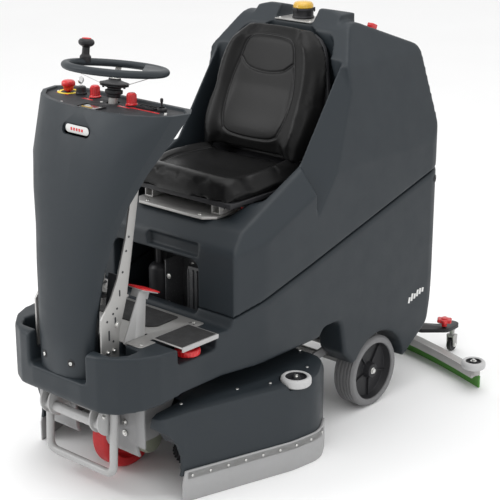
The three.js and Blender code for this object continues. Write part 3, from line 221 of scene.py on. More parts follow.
# %% Moulded plastics
def moulded_plastic(name, colour, rough, grain=900.0, depth=0.00012, dust=0.0, coat=0.0):
    s = Shader(name)
    drift = s.clouds(3.0, 4.0)
    dark = tuple(c * 0.93 for c in colour)
    light = tuple(min(1.0, c * 1.07) for c in colour)
    base = s.mixed(drift, dark, light)
    rubbed = tuple(min(1.0, c * 1.45 + 0.02) for c in colour)
    base = s.mixed(s.edges() * 0.30, base, rubbed)
    if dust:
        low = s.axis("Z").ramped(0.45, 0.05).clamped()
        specks = s.clouds(45.0, 6.0, 0.7).ramped(0.42, 0.75).clamped()
        base = s.mixed(low * specks * dust, base, (0.32, 0.31, 0.29))
    blotches = s.clouds(14.0, 5.0, 0.6)
    s.set(
        Base_Color=base, Roughness=blotches.ramped(0.3, 0.7, rough - 0.05, rough + 0.07),
        Coat_Weight=coat
    )
    s.surface.inputs["Specular IOR Level"].default_value = 0.3
    s.bumps((s.pebbles(grain), 0.35, depth), (s.clouds(110.0, 2.0), 0.12, 0.0006))
    return s.material


SLATE = moulded_plastic("slate rotomoulded", (0.0185, 0.0240, 0.0290), 0.46)
BLACK_PLASTIC = moulded_plastic("satin black", (0.016, 0.016, 0.018), 0.42, 700.0)
BLACK_PANEL = moulded_plastic("textured black panel", (0.022, 0.023, 0.026), 0.55, 450.0, 0.0003)
WHITE_LABEL = moulded_plastic("pale label", (0.62, 0.62, 0.61), 0.4, 600.0, 0.00005)
YELLOW_LABEL = moulded_plastic("yellow label", (0.75, 0.56, 0.03), 0.4, 600.0, 0.00005)


def gloss_plastic(name, colour, rough=0.28):
    s = Shader(name)
    drift = s.clouds(30.0, 3.0)
    base = s.mixed(drift, tuple(c * 0.86 for c in colour), colour)
    base = s.mixed(s.edges() * 0.25, base, tuple(min(1.0, c * 1.3 + 0.05) for c in colour))
    smears = s.clouds(60.0, 6.0, 0.7, s.stretched(1.0, 4.0, 1.0))
    s.set(
        Base_Color=base, Roughness=smears.ramped(0.3, 0.7, rough - 0.05, rough + 0.12), Coat_Weight=0.25
    )
    s.surface.inputs["Coat Roughness"].default_value = 0.15
    s.bumps((s.clouds(260.0, 2.0), 0.1, 0.0003))
    return s.material


RED = gloss_plastic("red plastic", (0.62, 0.010, 0.014))


def amber_lens():
    s = Shader("amber lens")
    ribs = (s.axis("X") * 900.0).wave() * 0.5 + 0.5
    base = s.mixed(s.clouds(40.0), (0.62, 0.36, 0.012), (0.74, 0.46, 0.03))
    s.set(Base_Color=base, Roughness=ribs.ramped(0.0, 1.0, 0.12, 0.22), Coat_Weight=0.6)
    s.surface.inputs["Transmission Weight"].default_value = 0.25
    s.surface.inputs["Emission Strength"].default_value = 0.05
    s.set(Emission_Color=base)
    s.bumps((ribs, 0.25, 0.0004))
    return s.material


AMBER = amber_lens()


def dark_glass():
    s = Shader("display window")
    lines = (s.axis("Y") * 1400.0).wave().ramped(-1.0, 1.0)
    s.set(Base_Color=s.mixed(lines * 0.2, (0.01, 0.013, 0.012), (0.05, 0.07, 0.05)))
    s.set(Roughness=s.clouds(90.0).ramped(0.3, 0.7, 0.08, 0.2), Coat_Weight=0.8)
    return s.material


DISPLAY = dark_glass()
print("plastics done")


# %% Metals
def sheet_metal(name, colour, rough, along=(1.0, 60.0, 60.0), metallic=1.0, streak=0.10):
    """Brushed or rolled sheet: fine scratches along one direction, and a few stains."""
    s = Shader(name)
    lines = s.clouds(55.0, 8.0, 0.75, s.stretched(*along))
    stains = s.clouds(9.0, 5.0, 0.65)
    base = s.mixed(lines, tuple(c * 0.86 for c in colour), colour)
    base = s.mixed(stains.ramped(0.5, 0.75).clamped() * 0.25, base, tuple(c * 0.7 for c in colour))
    base = s.mixed(s.edges() * 0.4, base, tuple(min(1.0, c * 1.2) for c in colour))
    s.set(
        Base_Color=base, Metallic=metallic,
        Roughness=lines.ramped(0.3, 0.7, rough - streak, rough + streak)
    )
    s.bumps((lines, 0.12, 0.0002), (s.clouds(25.0, 2.0), 0.06, 0.001))
    return s.material


STEEL = sheet_metal("rolled steel", (0.40, 0.395, 0.385), 0.42, metallic=0.6)
BRIGHT = sheet_metal("zinc fastener", (0.70, 0.70, 0.68), 0.28, (30.0, 30.0, 2.0), 1.0, 0.06)
CHROME = sheet_metal("bright key metal", (0.80, 0.80, 0.80), 0.14, (8.0, 8.0, 8.0), 1.0, 0.05)


def painted_metal(name, colour, rough=0.38):
    """Smooth paint with orange peel, worn paler at the edges, scuffed low down."""
    s = Shader(name)
    base = s.mixed(s.clouds(6.0, 4.0), tuple(c * 0.93 for c in colour), colour)
    chips = s.clouds(150.0, 6.0, 0.8).ramped(0.56, 0.64).clamped() * s.edges()
    base = s.mixed(chips * 0.7, base, (0.30, 0.29, 0.28))
    grime = s.axis("Z").ramped(0.30, 0.05).clamped() * s.clouds(
        20.0, 6.0, 0.7
    ).ramped(0.45, 0.8).clamped()
    base = s.mixed(grime * 0.35, base, (0.16, 0.15, 0.14))
    s.set(Base_Color=base, Roughness=s.clouds(35.0, 5.0).ramped(0.3, 0.7, rough - 0.06, rough + 0.1))
    s.set(Coat_Weight=0.2)
    s.bumps((s.clouds(320.0, 2.0), 0.12, 0.0003))
    return s.material


GREY_PAINT = painted_metal("grey paint", (0.24, 0.24, 0.243))
DARK_PAINT = painted_metal("dark grey paint", (0.060, 0.062, 0.066))
PALE_PAINT = painted_metal("pale grey paint", (0.38, 0.38, 0.378))
OLIVE_PAINT = painted_metal("olive paint", (0.22, 0.235, 0.18))
print("metals done")


# %% Rubbers and vinyl
def rubber(name, colour, rough=0.62, grain=500.0, wear=0.3):
    s = Shader(name)
    base = s.mixed(s.clouds(8.0, 4.0), tuple(c * 0.9 for c in colour), colour)
    scuffs = s.clouds(70.0, 8.0, 0.75).ramped(0.5, 0.72).clamped()
    base = s.mixed(scuffs * wear, base, tuple(c * 0.72 for c in colour))
    s.set(Base_Color=base, Roughness=s.clouds(50.0, 4.0).ramped(0.3, 0.7, rough - 0.08, rough + 0.12))
    s.bumps((s.pebbles(grain), 0.3, 0.0003), (s.clouds(90.0, 3.0), 0.15, 0.0005))
    return s.material


GREY_TYRE = rubber("grey tyre", (0.175, 0.175, 0.178))
PALE_RING = rubber("pale bumper ring", (0.50, 0.50, 0.50), 0.5, 500.0, 0.15)
RED_TYRE = rubber("red tread", (0.50, 0.014, 0.018), 0.5)
GREY_RUBBER = rubber("grey skirt rubber", (0.34, 0.34, 0.342), 0.45, 500.0, 0.12)
GREEN_RUBBER = rubber("green blade rubber", (0.075, 0.255, 0.035), 0.5, 300.0)


def ribbed_mat():
    """Rubber matting with rows of small square pips, and painted shade in the grooves between them."""
    s = Shader("ribbed mat")
    across = (s.axis("X") * 1250.0).wave().absolute()
    along = (s.axis("Y") * 1250.0).wave().absolute()
    pips = across * along
    # Painted shade: the grooves between the pips are coloured near black and the pip tops lighter.
    base = s.mixed(pips.ramped(0.1, 0.6).clamped(), (0.006, 0.006, 0.0065), (0.035, 0.035, 0.036))
    s.set(Base_Color=base, Roughness=s.clouds(30.0, 4.0).ramped(0.3, 0.7, 0.6, 0.85))
    s.bumps((pips, 0.8, 0.0015))
    return s.material


MAT = ribbed_mat()


def seat_vinyl():
    """Glossy upholstery vinyl: leather-like grain, with faint wear on the crowns."""
    s = Shader("seat vinyl")
    grain = s.pebbles(420.0)
    folds = s.clouds(24.0, 5.0, 0.6)
    base = s.mixed(folds, (0.0035, 0.0035, 0.0036), (0.007, 0.007, 0.0072))
    base = s.mixed(s.edges() * 0.25, base, (0.03, 0.03, 0.03))
    s.set(Base_Color=base, Roughness=grain.ramped(0.0, 0.8, 0.28, 0.40), Coat_Weight=0.06)
    s.surface.inputs["Coat Roughness"].default_value = 0.3
    s.surface.inputs["Specular IOR Level"].default_value = 0.15
    s.bumps((grain, 0.35, 0.0005), (folds, 0.10, 0.003))
    return s.material


VINYL = seat_vinyl()
THREAD = rubber("seam welting", (0.018, 0.018, 0.019), 0.45, 900.0, 0.1)
print("rubbers and vinyl done")

# %% [markdown]
# ## Making pieces
#
# `piece` turns a bmesh into a riding object with its material. The makers after it cover what the
# machine is built from: softened mouldings, crisp edged metalwork, lathe-turned parts, bent tubes,
# cut plates and fasteners.

# %% Making pieces
made = []


def piece(name, shape, body, material, smooth=35.0):
    """A finished object from a bmesh, riding on a body."""
    mesh = bpy.data.meshes.new(name)
    bmesh.ops.recalc_face_normals(shape, faces=shape.faces)
    shape.to_mesh(mesh)
    shape.free()
    return settle(name, mesh, body, material, smooth)


def settle(name, mesh, body, material, smooth=35.0):
    thing = bpy.data.objects.new(name, mesh)
    bpy.context.scene.collection.objects.link(thing)
    mesh.materials.clear()
    mesh.materials.append(material)
    mesh.shade_smooth()
    if smooth < 180:
        mesh.set_sharp_from_angle(angle=math.radians(smooth))
    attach(thing, body)
    made.append(thing)
    return thing


def applied(thing, *modifiers):
    """The object's mesh with modifiers (type, settings) applied, one after another."""
    for number, (kind, settings) in enumerate(modifiers):
        modifier = thing.modifiers.new(f"step{number}", kind)
        for key, value in settings.items():
            setattr(modifier, key, value)
    graph = bpy.context.evaluated_depsgraph_get()
    mesh = bpy.data.meshes.new_from_object(thing.evaluated_get(graph))
    thing.modifiers.clear()
    thing.data = mesh
    return thing


def node_shape(node):
    """A bmesh copy of a CAD node, with its flat faces merged."""
    shape = bmesh.new()
    shape.from_mesh(frame["nodes"][node].data)
    bmesh.ops.remove_doubles(shape, verts=shape.verts, dist=1e-5)
    bmesh.ops.dissolve_limit(shape, angle_limit=math.radians(1.0), verts=shape.verts, edges=shape.edges)
    return shape


BODY_OF = {
    node: body for body, nodes in frame["record"]["behaviour"]["bodies"].items() for node in nodes
}


def stand_in(thing, *nodes):
    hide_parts(*nodes)
    return thing


def moulded(node, name, material, voxel=0.006, rounds=14, more=None):
    """A rotomoulded body: the CAD shape with every corner softened."""
    shape = bmesh.new()
    shape.from_mesh(frame["nodes"][node].data)
    if more:
        more(shape)
    thing = piece(name, shape, BODY_OF[node], material, 180)
    applied(
        thing,
        ("REMESH", {"mode": "VOXEL", "voxel_size": voxel}),
        ("SMOOTH", {"factor": 0.5, "iterations": rounds}),
    )
    thing.data.shade_smooth()
    thing.data.materials.clear()
    thing.data.materials.append(material)
    return stand_in(thing, node)


def edged(node, name, material, width=0.0015, segments=2, angle=30.0):
    """Metalwork: the CAD shape with its edges broken."""
    thing = piece(name, node_shape(node), BODY_OF[node], material, 180)
    settings = {
        "width": width, "segments": segments, "limit_method": "ANGLE",
        "angle_limit": math.radians(angle)
    }
    settings |= {"use_clamp_overlap": True, "harden_normals": False}
    applied(thing, ("BEVEL", settings))
    thing.data.shade_smooth()
    thing.data.set_sharp_from_angle(angle=math.radians(40))
    return stand_in(thing, node)


def turned_shape(profile, place, axis=(0, 0, 1), sides=48, shape=None):
    """A lathe-turned solid from (radius, height) in millimetres, along an axis at a place."""
    shape = shape or bmesh.new()
    turn = Vector((0, 0, 1)).rotation_difference(Vector(axis)).to_matrix()
    rings = []
    for radius, height in profile:
        if radius <= 1e-6:
            rings.append([shape.verts.new(place + turn @ Vector((0, 0, height / 1000)))])
            continue
        ring = []
        for i in range(sides):
            a = 2 * math.pi * i / sides
            spot = Vector((radius * math.cos(a), radius * math.sin(a), height)) / 1000
            ring.append(shape.verts.new(place + turn @ spot))
        rings.append(ring)
    for low, high in zip(rings, rings[1:]):
        for i in range(sides):
            j = (i + 1) % sides
            corners = [low[i % len(low)], low[j % len(low)], high[j % len(high)], high[i % len(high)]]
            corners = list(dict.fromkeys(corners))
            if len(corners) > 2:
                shape.faces.new(corners)
    return shape


def rounded(profile, radius=1.5, steps=3):
    """The profile with its inner corners rounded."""
    out = [profile[0]]
    for before, here, after in zip(profile, profile[1:], profile[2:]):
        b, h, a = Vector(before), Vector(here), Vector(after)
        reach = min(radius, (b - h).length * 0.45, (a - h).length * 0.45)
        start, end = h + (b - h).normalized() * reach, h + (a - h).normalized() * reach
        for k in range(steps + 1):
            t = k / steps
            spot = start.lerp(h, t).lerp(h.lerp(end, t), t)
            out.append((spot.x, spot.y))
    out.append(profile[-1])
    return out


def turned(name, profile, place, body, material, axis=(0, 0, 1), sides=48, round_by=1.2):
    shape = turned_shape(rounded(profile, round_by), place, axis, sides)
    return piece(name, shape, body, material, 40)


def slab(lo, hi, soft=1.0, shape=None, turn=None):
    """A block with softened edges; millimetres. It can be turned about its own centre."""
    part = bmesh.new()
    bmesh.ops.create_cube(part, size=1)
    span = [(b - a) / 1000 for a, b in zip(lo, hi)]
    middle = mm(*[(a + b) / 2 for a, b in zip(lo, hi)])
    bmesh.ops.scale(part, vec=span, verts=part.verts)
    soft = min(soft / 1000, min(span) * 0.45)
    if soft > 0:
        bmesh.ops.bevel(part, geom=part.edges, offset=soft, segments=2, profile=0.6, affect="EDGES")
    if turn:
        bmesh.ops.rotate(part, verts=part.verts, matrix=turn)
    bmesh.ops.translate(part, vec=middle, verts=part.verts)
    return merged(shape, part)


def merged(shape, part):
    """part added to shape, which may be None."""
    if shape is None:
        return part
    mesh = bpy.data.meshes.new("merge")
    part.to_mesh(mesh)
    shape.from_mesh(mesh)
    part.free()
    bpy.data.meshes.remove(mesh)
    return shape


def cut_plate(points, thick, place, normal=(0, 0, 1), soft=0.6, shape=None):
    """A plate from a flat outline in millimetres, standing off a place along a normal."""
    part = bmesh.new()
    turn = Vector((0, 0, 1)).rotation_difference(Vector(normal)).to_matrix()
    ring = [part.verts.new(Vector((x, y, 0)) / 1000) for x, y in points]
    face = part.faces.new(ring)
    made_now = bmesh.ops.extrude_face_region(part, geom=[face])
    top = [v for v in made_now["geom"] if isinstance(v, bmesh.types.BMVert)]
    bmesh.ops.translate(part, verts=top, vec=(0, 0, thick / 1000))
    bmesh.ops.recalc_face_normals(part, faces=part.faces)
    if soft > 0:
        bmesh.ops.bevel(
            part, geom=part.edges, offset=soft / 1000, segments=2, profile=0.6, affect="EDGES"
        )
    bmesh.ops.transform(part, matrix=Matrix.Translation(place) @ turn.to_4x4(), verts=part.verts)
    return merged(shape, part)


def arc_points(cx, cy, radius, start, end, steps=10):
    """Points along an arc; degrees."""
    return [
        (cx + radius * math.cos(math.radians(a)), cy + radius * math.sin(math.radians(a)))
        for a in np.linspace(start, end, steps + 1)
    ]


def pill(half_long, half_wide, steps=10):
    reach = half_long - half_wide
    return arc_points(reach, 0, half_wide, -90, 90, steps) + arc_points(
        -reach, 0, half_wide, 90, 270, steps
    )


def tube(name, points, radius, body, material, sides=12):
    """A round tube along a smooth path; the points are in metres, the radius in millimetres."""
    curve = bpy.data.curves.new(name, "CURVE")
    curve.dimensions = "3D"
    spline = curve.splines.new("POLY")
    spline.points.add(len(points) - 1)
    for knot, spot in zip(spline.points, points):
        knot.co = (*spot, 1)
    curve.bevel_depth = radius / 1000
    curve.bevel_resolution = max(2, sides // 4)
    curve.use_fill_caps = True
    holder = bpy.data.objects.new(name + "_curve", curve)
    bpy.context.scene.collection.objects.link(holder)
    graph = bpy.context.evaluated_depsgraph_get()
    mesh = bpy.data.meshes.new_from_object(holder.evaluated_get(graph))
    bpy.data.objects.remove(holder)
    return settle(name, mesh, body, material, 50)


def bent_path(corners, radius, steps=8):
    """Straight runs joined by arcs, through corners given in millimetres."""
    spots = [mm(*c) for c in corners]
    out = [spots[0]]
    for before, here, after in zip(spots, spots[1:], spots[2:]):
        start = here + (before - here).normalized() * radius / 1000
        end = here + (after - here).normalized() * radius / 1000
        for k in range(steps + 1):
            t = k / steps
            out.append(start.lerp(here, t).lerp(here.lerp(end, t), t))
    return [*out, spots[-1]]


def hex_bolt(shape, place, axis, across=10.0, tall=5.0, washer=True):
    """A hexagon head on a washer."""
    if washer:
        turned_shape(
            [(0, 0), (across * 0.95, 0), (across * 0.95, 1.4), (0, 1.4)], place, axis, 24, shape
        )
    head = [(0, 1.0), (across * 0.55, 1.0), (across * 0.58, tall - 1), (across * 0.5, tall), (0, tall)]
    return turned_shape(head, place, axis, 6, shape)


def cap_screw(shape, place, axis, radius=5.0, tall=2.6):
    """A domed screw head with a hexagon socket."""
    profile = [(0, 0), (radius, 0), (radius, 0.8), (radius * 0.85, tall * 0.8), (radius * 0.45, tall)]
    profile += [(radius * 0.42, tall * 0.35), (0, tall * 0.35)]
    return turned_shape(profile, place, axis, 24, shape)


print("makers ready")

# %% [markdown]
# ## Rotomoulded bodies
#
# Both tanks, the column cover, the deck cover and the lid are hollow plastic mouldings: large
# radii, no crisp edges. The seam between the tanks stays as the real gap.

# %% Rotomoulded bodies
lower = moulded("lower_tank", "lower_tank_moulding", SLATE, 0.0050, 12)
moulded("recovery_tank", "recovery_tank_moulding", SLATE, 0.0050, 9)
moulded("tank_lid", "tank_lid_moulding", SLATE, 0.004, 8)
cover = edged("column_cover", "column_cover_moulding", SLATE, 0.004, 3, 38)
deck = edged("deck_cover", "deck_cover_moulding", SLATE, 0.004, 3, 38)
print("mouldings:", [(o.name, len(o.data.vertices)) for o in made])

# %% [markdown]
# ## Fittings on the bodies
#
# Screws in the column cover, the tank's hinge bolts, the lid's latch and a generic raised mark.


# %% Fittings on the bodies
def surface_hit(thing, start, way):
    """Where a line from outside first meets a piece, and the surface's normal there."""
    tree = BVHTree.FromPolygons(
        [v.co for v in thing.data.vertices], [p.vertices for p in thing.data.polygons]
    )
    spot, normal, _, _ = tree.ray_cast(start, Vector(way).normalized())
    return spot, normal


for side, sign in SIDES:
    spot, normal = surface_hit(cover, mm(sign * 57, -1300, 434), (0, 1, 0))
    well = turned_shape(
        [(0, 0.3), (9.5, 0.3), (11.5, 1.4), (12.5, 0.8), (12.5, -2), (0, -2)], spot, normal, 32
    )
    piece(f"cover_screw_well_{side}", well, "chassis", BLACK_PLASTIC)
    head = cap_screw(bmesh.new(), spot + normal * 0.0008, normal, 6.2, 3.4)
    piece(f"cover_screw_{side}", head, "chassis", BRIGHT)
    spot, normal = surface_hit(lower, mm(sign * 420, 303, 742), (-sign, 0, 0))
    bolt = turned_shape(
        [(0, -3), (13, -3), (13, 1.5), (11, 2.5), (6, 2.5), (5.6, 0.8), (0, 0.8)], spot, normal, 32
    )
    piece(f"tank_hinge_bolt_{side}", bolt, "chassis", BLACK_PLASTIC)

badge = bmesh.new()
badge_place = mm(0, -1009.5, 1100)
cut_plate(pill(48, 12), 1.6, badge_place, (0, -1, 0), 0.4, badge)
piece("cover_badge", badge, "chassis", WHITE_LABEL)
marks = bmesh.new()
for k in range(5):
    slab((-26 + 11 * k, -1012.4, 1096), (-20 + 11 * k, -1010.9, 1104), 0.4, marks)
piece("cover_badge_mark", marks, "chassis", RED)

mark = bmesh.new()
for k, tall in enumerate((15, 19, 13, 17, 15, 11)):
    y = 168 + 15.5 * k
    spot, _ = surface_hit(lower, mm(420, y, 338 + 4.2 * k), (-1, 0, 0))
    turn = Matrix.Rotation(math.radians(-13), 3, "X")
    x = spot.x * 1000
    foot = 328 + 4.2 * k
    slab((x - 0.8, y - 5.2, foot), (x + 1.0, y + 5.2, foot + 1.4 * tall), 0.7, mark, turn)
piece("side_mark", mark, "chassis", WHITE_LABEL)

latch = bmesh.new()
slab((182, 96, 1261), (204, 124, 1279), 3, latch, Matrix.Rotation(math.radians(-21), 3, "X"))
piece("lid_latch", latch, "tank_lid", RED)
ribs = bmesh.new()
for k in range(4):
    x = -120 + 80 * k
    slab((x - 9, 84, 1240), (x + 9, 214, 1246), 2.5, ribs, Matrix.Rotation(math.radians(-20.8), 3, "X"))
piece("lid_ribs", ribs, "tank_lid", SLATE)
print("fittings done")

# %% [markdown]
# ## Console
#
# A dark panel below the rim, with a red and a yellow label, two dials, the key, the emergency
# stop, two rockers, a direction toggle and a display.

# %% Console
edged("console_panel", "console_plate", BLACK_PANEL, 0.0008)
frame["nodes"]["display"].data.materials.clear()
frame["nodes"]["display"].data.materials.append(DISPLAY)
PANEL = 1154.0
CONTROL_Y = -855.0
panel_red = bmesh.new()
for x0, x1, y0, y1 in (
    (-228, -176, -886, -878), (-112, -66, -890, -882), (82, 200, -884, -876), (40, 90, -892, -884)
):
    cut_plate(
        [(x0, y0), (x1, y0), (x1 - 4, y1), (x0 + 4, y1)], 0.5, mm(0, 0, PANEL), soft=0.1,
        shape=panel_red
    )
piece("panel_label_red", panel_red, "chassis", RED)
ring = turned_shape(
    [(23, 0.2), (34, 0.2), (34, 1.0), (23, 1.0), (23, 0.2)], mm(-206, CONTROL_Y, PANEL), sides=48
)
piece("stop_label_yellow", ring, "chassis", YELLOW_LABEL)
frame_strip = bmesh.new()
slab((-40, -982, PANEL), (40, -978.5, PANEL + 5), 0.8, frame_strip)
slab((-40, -935.5, PANEL), (40, -932, PANEL + 5), 0.8, frame_strip)
slab((-40, -982, PANEL), (-36.5, -932, PANEL + 5), 0.8, frame_strip)
slab((36.5, -982, PANEL), (40, -932, PANEL + 5), 0.8, frame_strip)
piece("display_bezel", frame_strip, "chassis", BLACK_PLASTIC)
amber_bar = bmesh.new()
slab((-26, -968, PANEL + 3.2), (14, -962, PANEL + 4.4), 0.3, amber_bar)
piece("display_bar", amber_bar, "chassis", AMBER)

stop = [
    (0, -12), (6, -12), (6, 4.2), (14.5, 4.2), (15.5, 16), (20.5, 19), (21, 29), (17, 34), (9, 36),
    (0, 36)
]
thing = turned(
    "emergency_stop_head", stop, mm(-206, CONTROL_Y, PANEL), "emergency_stop", RED, sides=56, round_by=3
)
stand_in(thing, "emergency_stop_button")
for node, body, x in (("water_knob", "water_knob", -90), ("speed_knob", "speed_knob", 63)):
    dial = [(0, -12), (6, -12), (6, 1.2), (18, 1.2), (18, 4), (14.5, 6), (13, 33), (10, 36), (0, 36)]
    shape = turned_shape(rounded(dial, 2), mm(x, CONTROL_Y, PANEL), sides=40)
    for k in range(14):
        a = 2 * math.pi * k / 14
        grip = Matrix.Rotation(a, 3, "Z")
        cx, cy = x + 13.6 * math.cos(a), CONTROL_Y + 13.6 * math.sin(a)
        slab((cx - 1.2, cy - 1, PANEL + 7), (cx + 1.2, cy + 1, PANEL + 31), 0.7, shape, grip)
    slab((x - 1.5, CONTROL_Y - 24, PANEL + 1.4), (x + 1.5, CONTROL_Y - 14, PANEL + 4), 0.8, shape)
    stand_in(piece(f"{node}_dial", shape, body, RED), node)
barrel = turned_shape(
    rounded([(4, 24), (4, 24.6), (12, 24.6), (14.6, 22), (15, 8), (17, 6), (17, 0.2), (4, 0.2)], 1),
    mm(-150, CONTROL_Y, PANEL)
)
piece("key_barrel", barrel, "chassis", BLACK_PLASTIC)
key = bmesh.new()
slab((-151, CONTROL_Y - 4, PANEL + 12), (-149, CONTROL_Y + 4, PANEL + 36), 0.4, key)
bow = arc_points(-11, 0, 11, 0, 345, 22)
cut_plate(bow, 2.4, mm(-151.2, CONTROL_Y, PANEL + 32), (1, 0, 0), 0.3, key)
stand_in(piece("key_blade_and_bow", key, "key", CHROME), "ignition_key")
for number, x in ((1, 112), (2, 146)):
    edged(f"rocker_switch_{number}", f"rocker_{number}_cap", BLACK_PLASTIC, 0.0008)
    surround = bmesh.new()
    for lo, hi in (
        ((-18, -13.5), (18, -11)), ((-18, 11), (18, 13.5)), ((-18, -13), (-15.2, 13)),
        ((15.2, -13), (18, 13))
    ):
        slab(
            (x + lo[0], CONTROL_Y + lo[1], PANEL), (x + hi[0], CONTROL_Y + hi[1], PANEL + 6), 0.8,
            surround
        )
    piece(f"rocker_{number}_surround", surround, "chassis", BLACK_PLASTIC)
toggle = [(0, -6), (2.6, -6), (2.6, 18), (4.4, 24), (4.6, 31), (3, 34), (0, 34)]
thing = turned(
    "toggle_lever", toggle, mm(184, CONTROL_Y, PANEL + 4), "toggle", BLACK_PLASTIC, sides=24,
    round_by=1.5
)
stand_in(thing, "direction_toggle")
boot = [(8.5, 11), (9.5, 10.6), (10.5, 9.6), (13, 9), (14, 6), (14, 0.2), (8.5, 0.2)]
turned("toggle_boot", boot, mm(184, CONTROL_Y, PANEL), "chassis", BLACK_PLASTIC, sides=32)
screws = bmesh.new()
for x, y in ((-236, -868), (212, -868), (-120, -960), (120, -960), (-30, -886), (222, -880)):
    cap_screw(screws, mm(x, y, PANEL), (0, 0, 1), 4.4, 2.6)
piece("panel_screws", screws, "chassis", BRIGHT)
print("console done")

# %% [markdown]
# ## Steering wheel
#
# A thick plastic rim filled in on one side, three bent steel spokes, a stepped hub on the shaft,
# and a spinner knob clamped to the rim. Its own coordinates lie in the wheel's tilted plane.

# %% Steering wheel
TILT = math.radians(8)
STEER = Matrix.Translation(mm(0, -855, 1252)) @ Matrix.Rotation(-TILT, 4, "X")
RIM_R, RIM_T = 143.0, 14.0
FILL = math.radians(42)


def in_wheel(shape, name, body, material, smooth=40.0):
    bmesh.ops.transform(shape, matrix=STEER, verts=shape.verts)
    return piece(name, shape, body, material, smooth)


ORIGIN = Vector((0, 0, 0))
section = [(RIM_R + RIM_T * math.cos(a), 11.5 * math.sin(a)) for a in np.linspace(0, 2 * math.pi, 21)]
rim = turned_shape(section, ORIGIN, sides=96)
bmesh.ops.remove_doubles(rim, verts=rim.verts, dist=1e-6)
fill = bmesh.new()
start = math.degrees(math.acos(80 / RIM_R))
outer = arc_points(0, 0, RIM_R - 3, -start, start, 24)
upper_ring = [fill.verts.new(Vector((x, y, 8)) / 1000) for x, y in outer]
lower_ring = [fill.verts.new(Vector((x, y, -8)) / 1000) for x, y in outer]
fill.faces.new(upper_ring)
fill.faces.new(lower_ring[::-1])
for k in range(len(outer)):
    nxt = (k + 1) % len(outer)
    fill.faces.new([lower_ring[k], lower_ring[nxt], upper_ring[nxt], upper_ring[k]])
bmesh.ops.bevel(fill, geom=fill.edges, offset=0.004, segments=3, profile=0.6, affect="EDGES")
bmesh.ops.rotate(fill, verts=fill.verts, matrix=Matrix.Rotation(FILL, 3, "Z"))
merged(rim, fill)
wheel_rim = in_wheel(rim, "wheel_rim", "steering", SLATE, 180)
applied(
    wheel_rim, ("REMESH", {"mode": "VOXEL", "voxel_size": 0.0022}),
    ("SMOOTH", {"factor": 0.5, "iterations": 8})
)
wheel_rim.data.shade_smooth()
wheel_rim.data.materials.clear()
wheel_rim.data.materials.append(SLATE)
stand_in(wheel_rim, "steering_wheel")
spokes = bmesh.new()
for k in range(3):
    a = math.radians(90 + 120 * k) + FILL
    path = [(30, -42), (46, -42), (120, -13), (136, -9), (143, -9)]
    arm = bmesh.new()
    ring_low = [arm.verts.new(Vector((x, -9, z)) / 1000) for x, z in path]
    ring_high = [arm.verts.new(Vector((x, 9, z)) / 1000) for x, z in path]
    for p in range(len(path) - 1):
        arm.faces.new([ring_low[p], ring_low[p + 1], ring_high[p + 1], ring_high[p]])
    made_now = bmesh.ops.solidify(arm, geom=arm.faces, thickness=0.004)
    bmesh.ops.rotate(arm, verts=arm.verts, matrix=Matrix.Rotation(a, 3, "Z"))
    merged(spokes, arm)
in_wheel(spokes, "wheel_spokes", "steering", STEEL, 25)
hub = turned_shape(
    rounded(
        [(0, -46), (42, -46), (44, -44), (43, -41), (28, -37), (18, -33), (18, -28), (0, -28)], 1.5
    ),
    ORIGIN
)
in_wheel(hub, "wheel_hub", "steering", BLACK_PLASTIC)
nut = hex_bolt(bmesh.new(), Vector((0, 0, -0.028)), (0, 0, 1), 17, 9)
in_wheel(nut, "wheel_nut", "steering", BRIGHT, 30)
post = turned_shape([(0, -700), (14, -700), (14, -82), (0, -82)], ORIGIN)
in_wheel(post, "steering_shaft", "steering", STEEL)
collar = [(0, -84), (18, -84), (20, -82), (20, -74), (26, -72), (26, -62), (20, -60), (20, -56)]
collar += [(34, -51.5), (42, -50), (42, -47), (0, -47)]
collar_shape = turned_shape(rounded(collar, 1), ORIGIN)
for k in range(3):
    a = math.radians(90 + 120 * k) + FILL
    hex_bolt(collar_shape, Vector((0.035 * math.cos(a), 0.035 * math.sin(a), -0.049)), (0, 0, -1), 6, 6)
stand_in(in_wheel(collar_shape, "steering_collar", "steering", BLACK_PLASTIC), "steering_column")
SPIN = math.radians(175)
spin_place = Vector((RIM_R * math.cos(SPIN), RIM_R * math.sin(SPIN), 0.3)) / 1000
clamp = [(0, 0), (17, 0), (17, 16), (14, 20), (12, 22), (11.5, 26), (11, 42), (13, 45), (0, 45)]
stand_in(
    in_wheel(turned_shape(rounded(clamp, 1.5), spin_place), "spinner_clamp", "spinner", BLACK_PLASTIC),
    "spinner_knob"
)
grip = [(0, 45), (14, 45), (21, 49), (24, 54), (24, 60), (20, 66), (14, 68), (0, 68)]
in_wheel(turned_shape(rounded(grip, 2.5), spin_place), "spinner_grip", "spinner", BLACK_PLASTIC)
cap = [(0, 67.6), (14, 67.6), (13.5, 70), (9, 71), (0, 71.2)]
in_wheel(turned_shape(rounded(cap, 1), spin_place), "spinner_cap", "spinner", RED)
print("steering done")

# %% [markdown]
# ## Column frame and footwell
#
# The folded post behind the cover with its slots and bolts, the steel foot plate with a rubber
# mat, the pedal in its slot, and the hinged lid over the red filler cap.

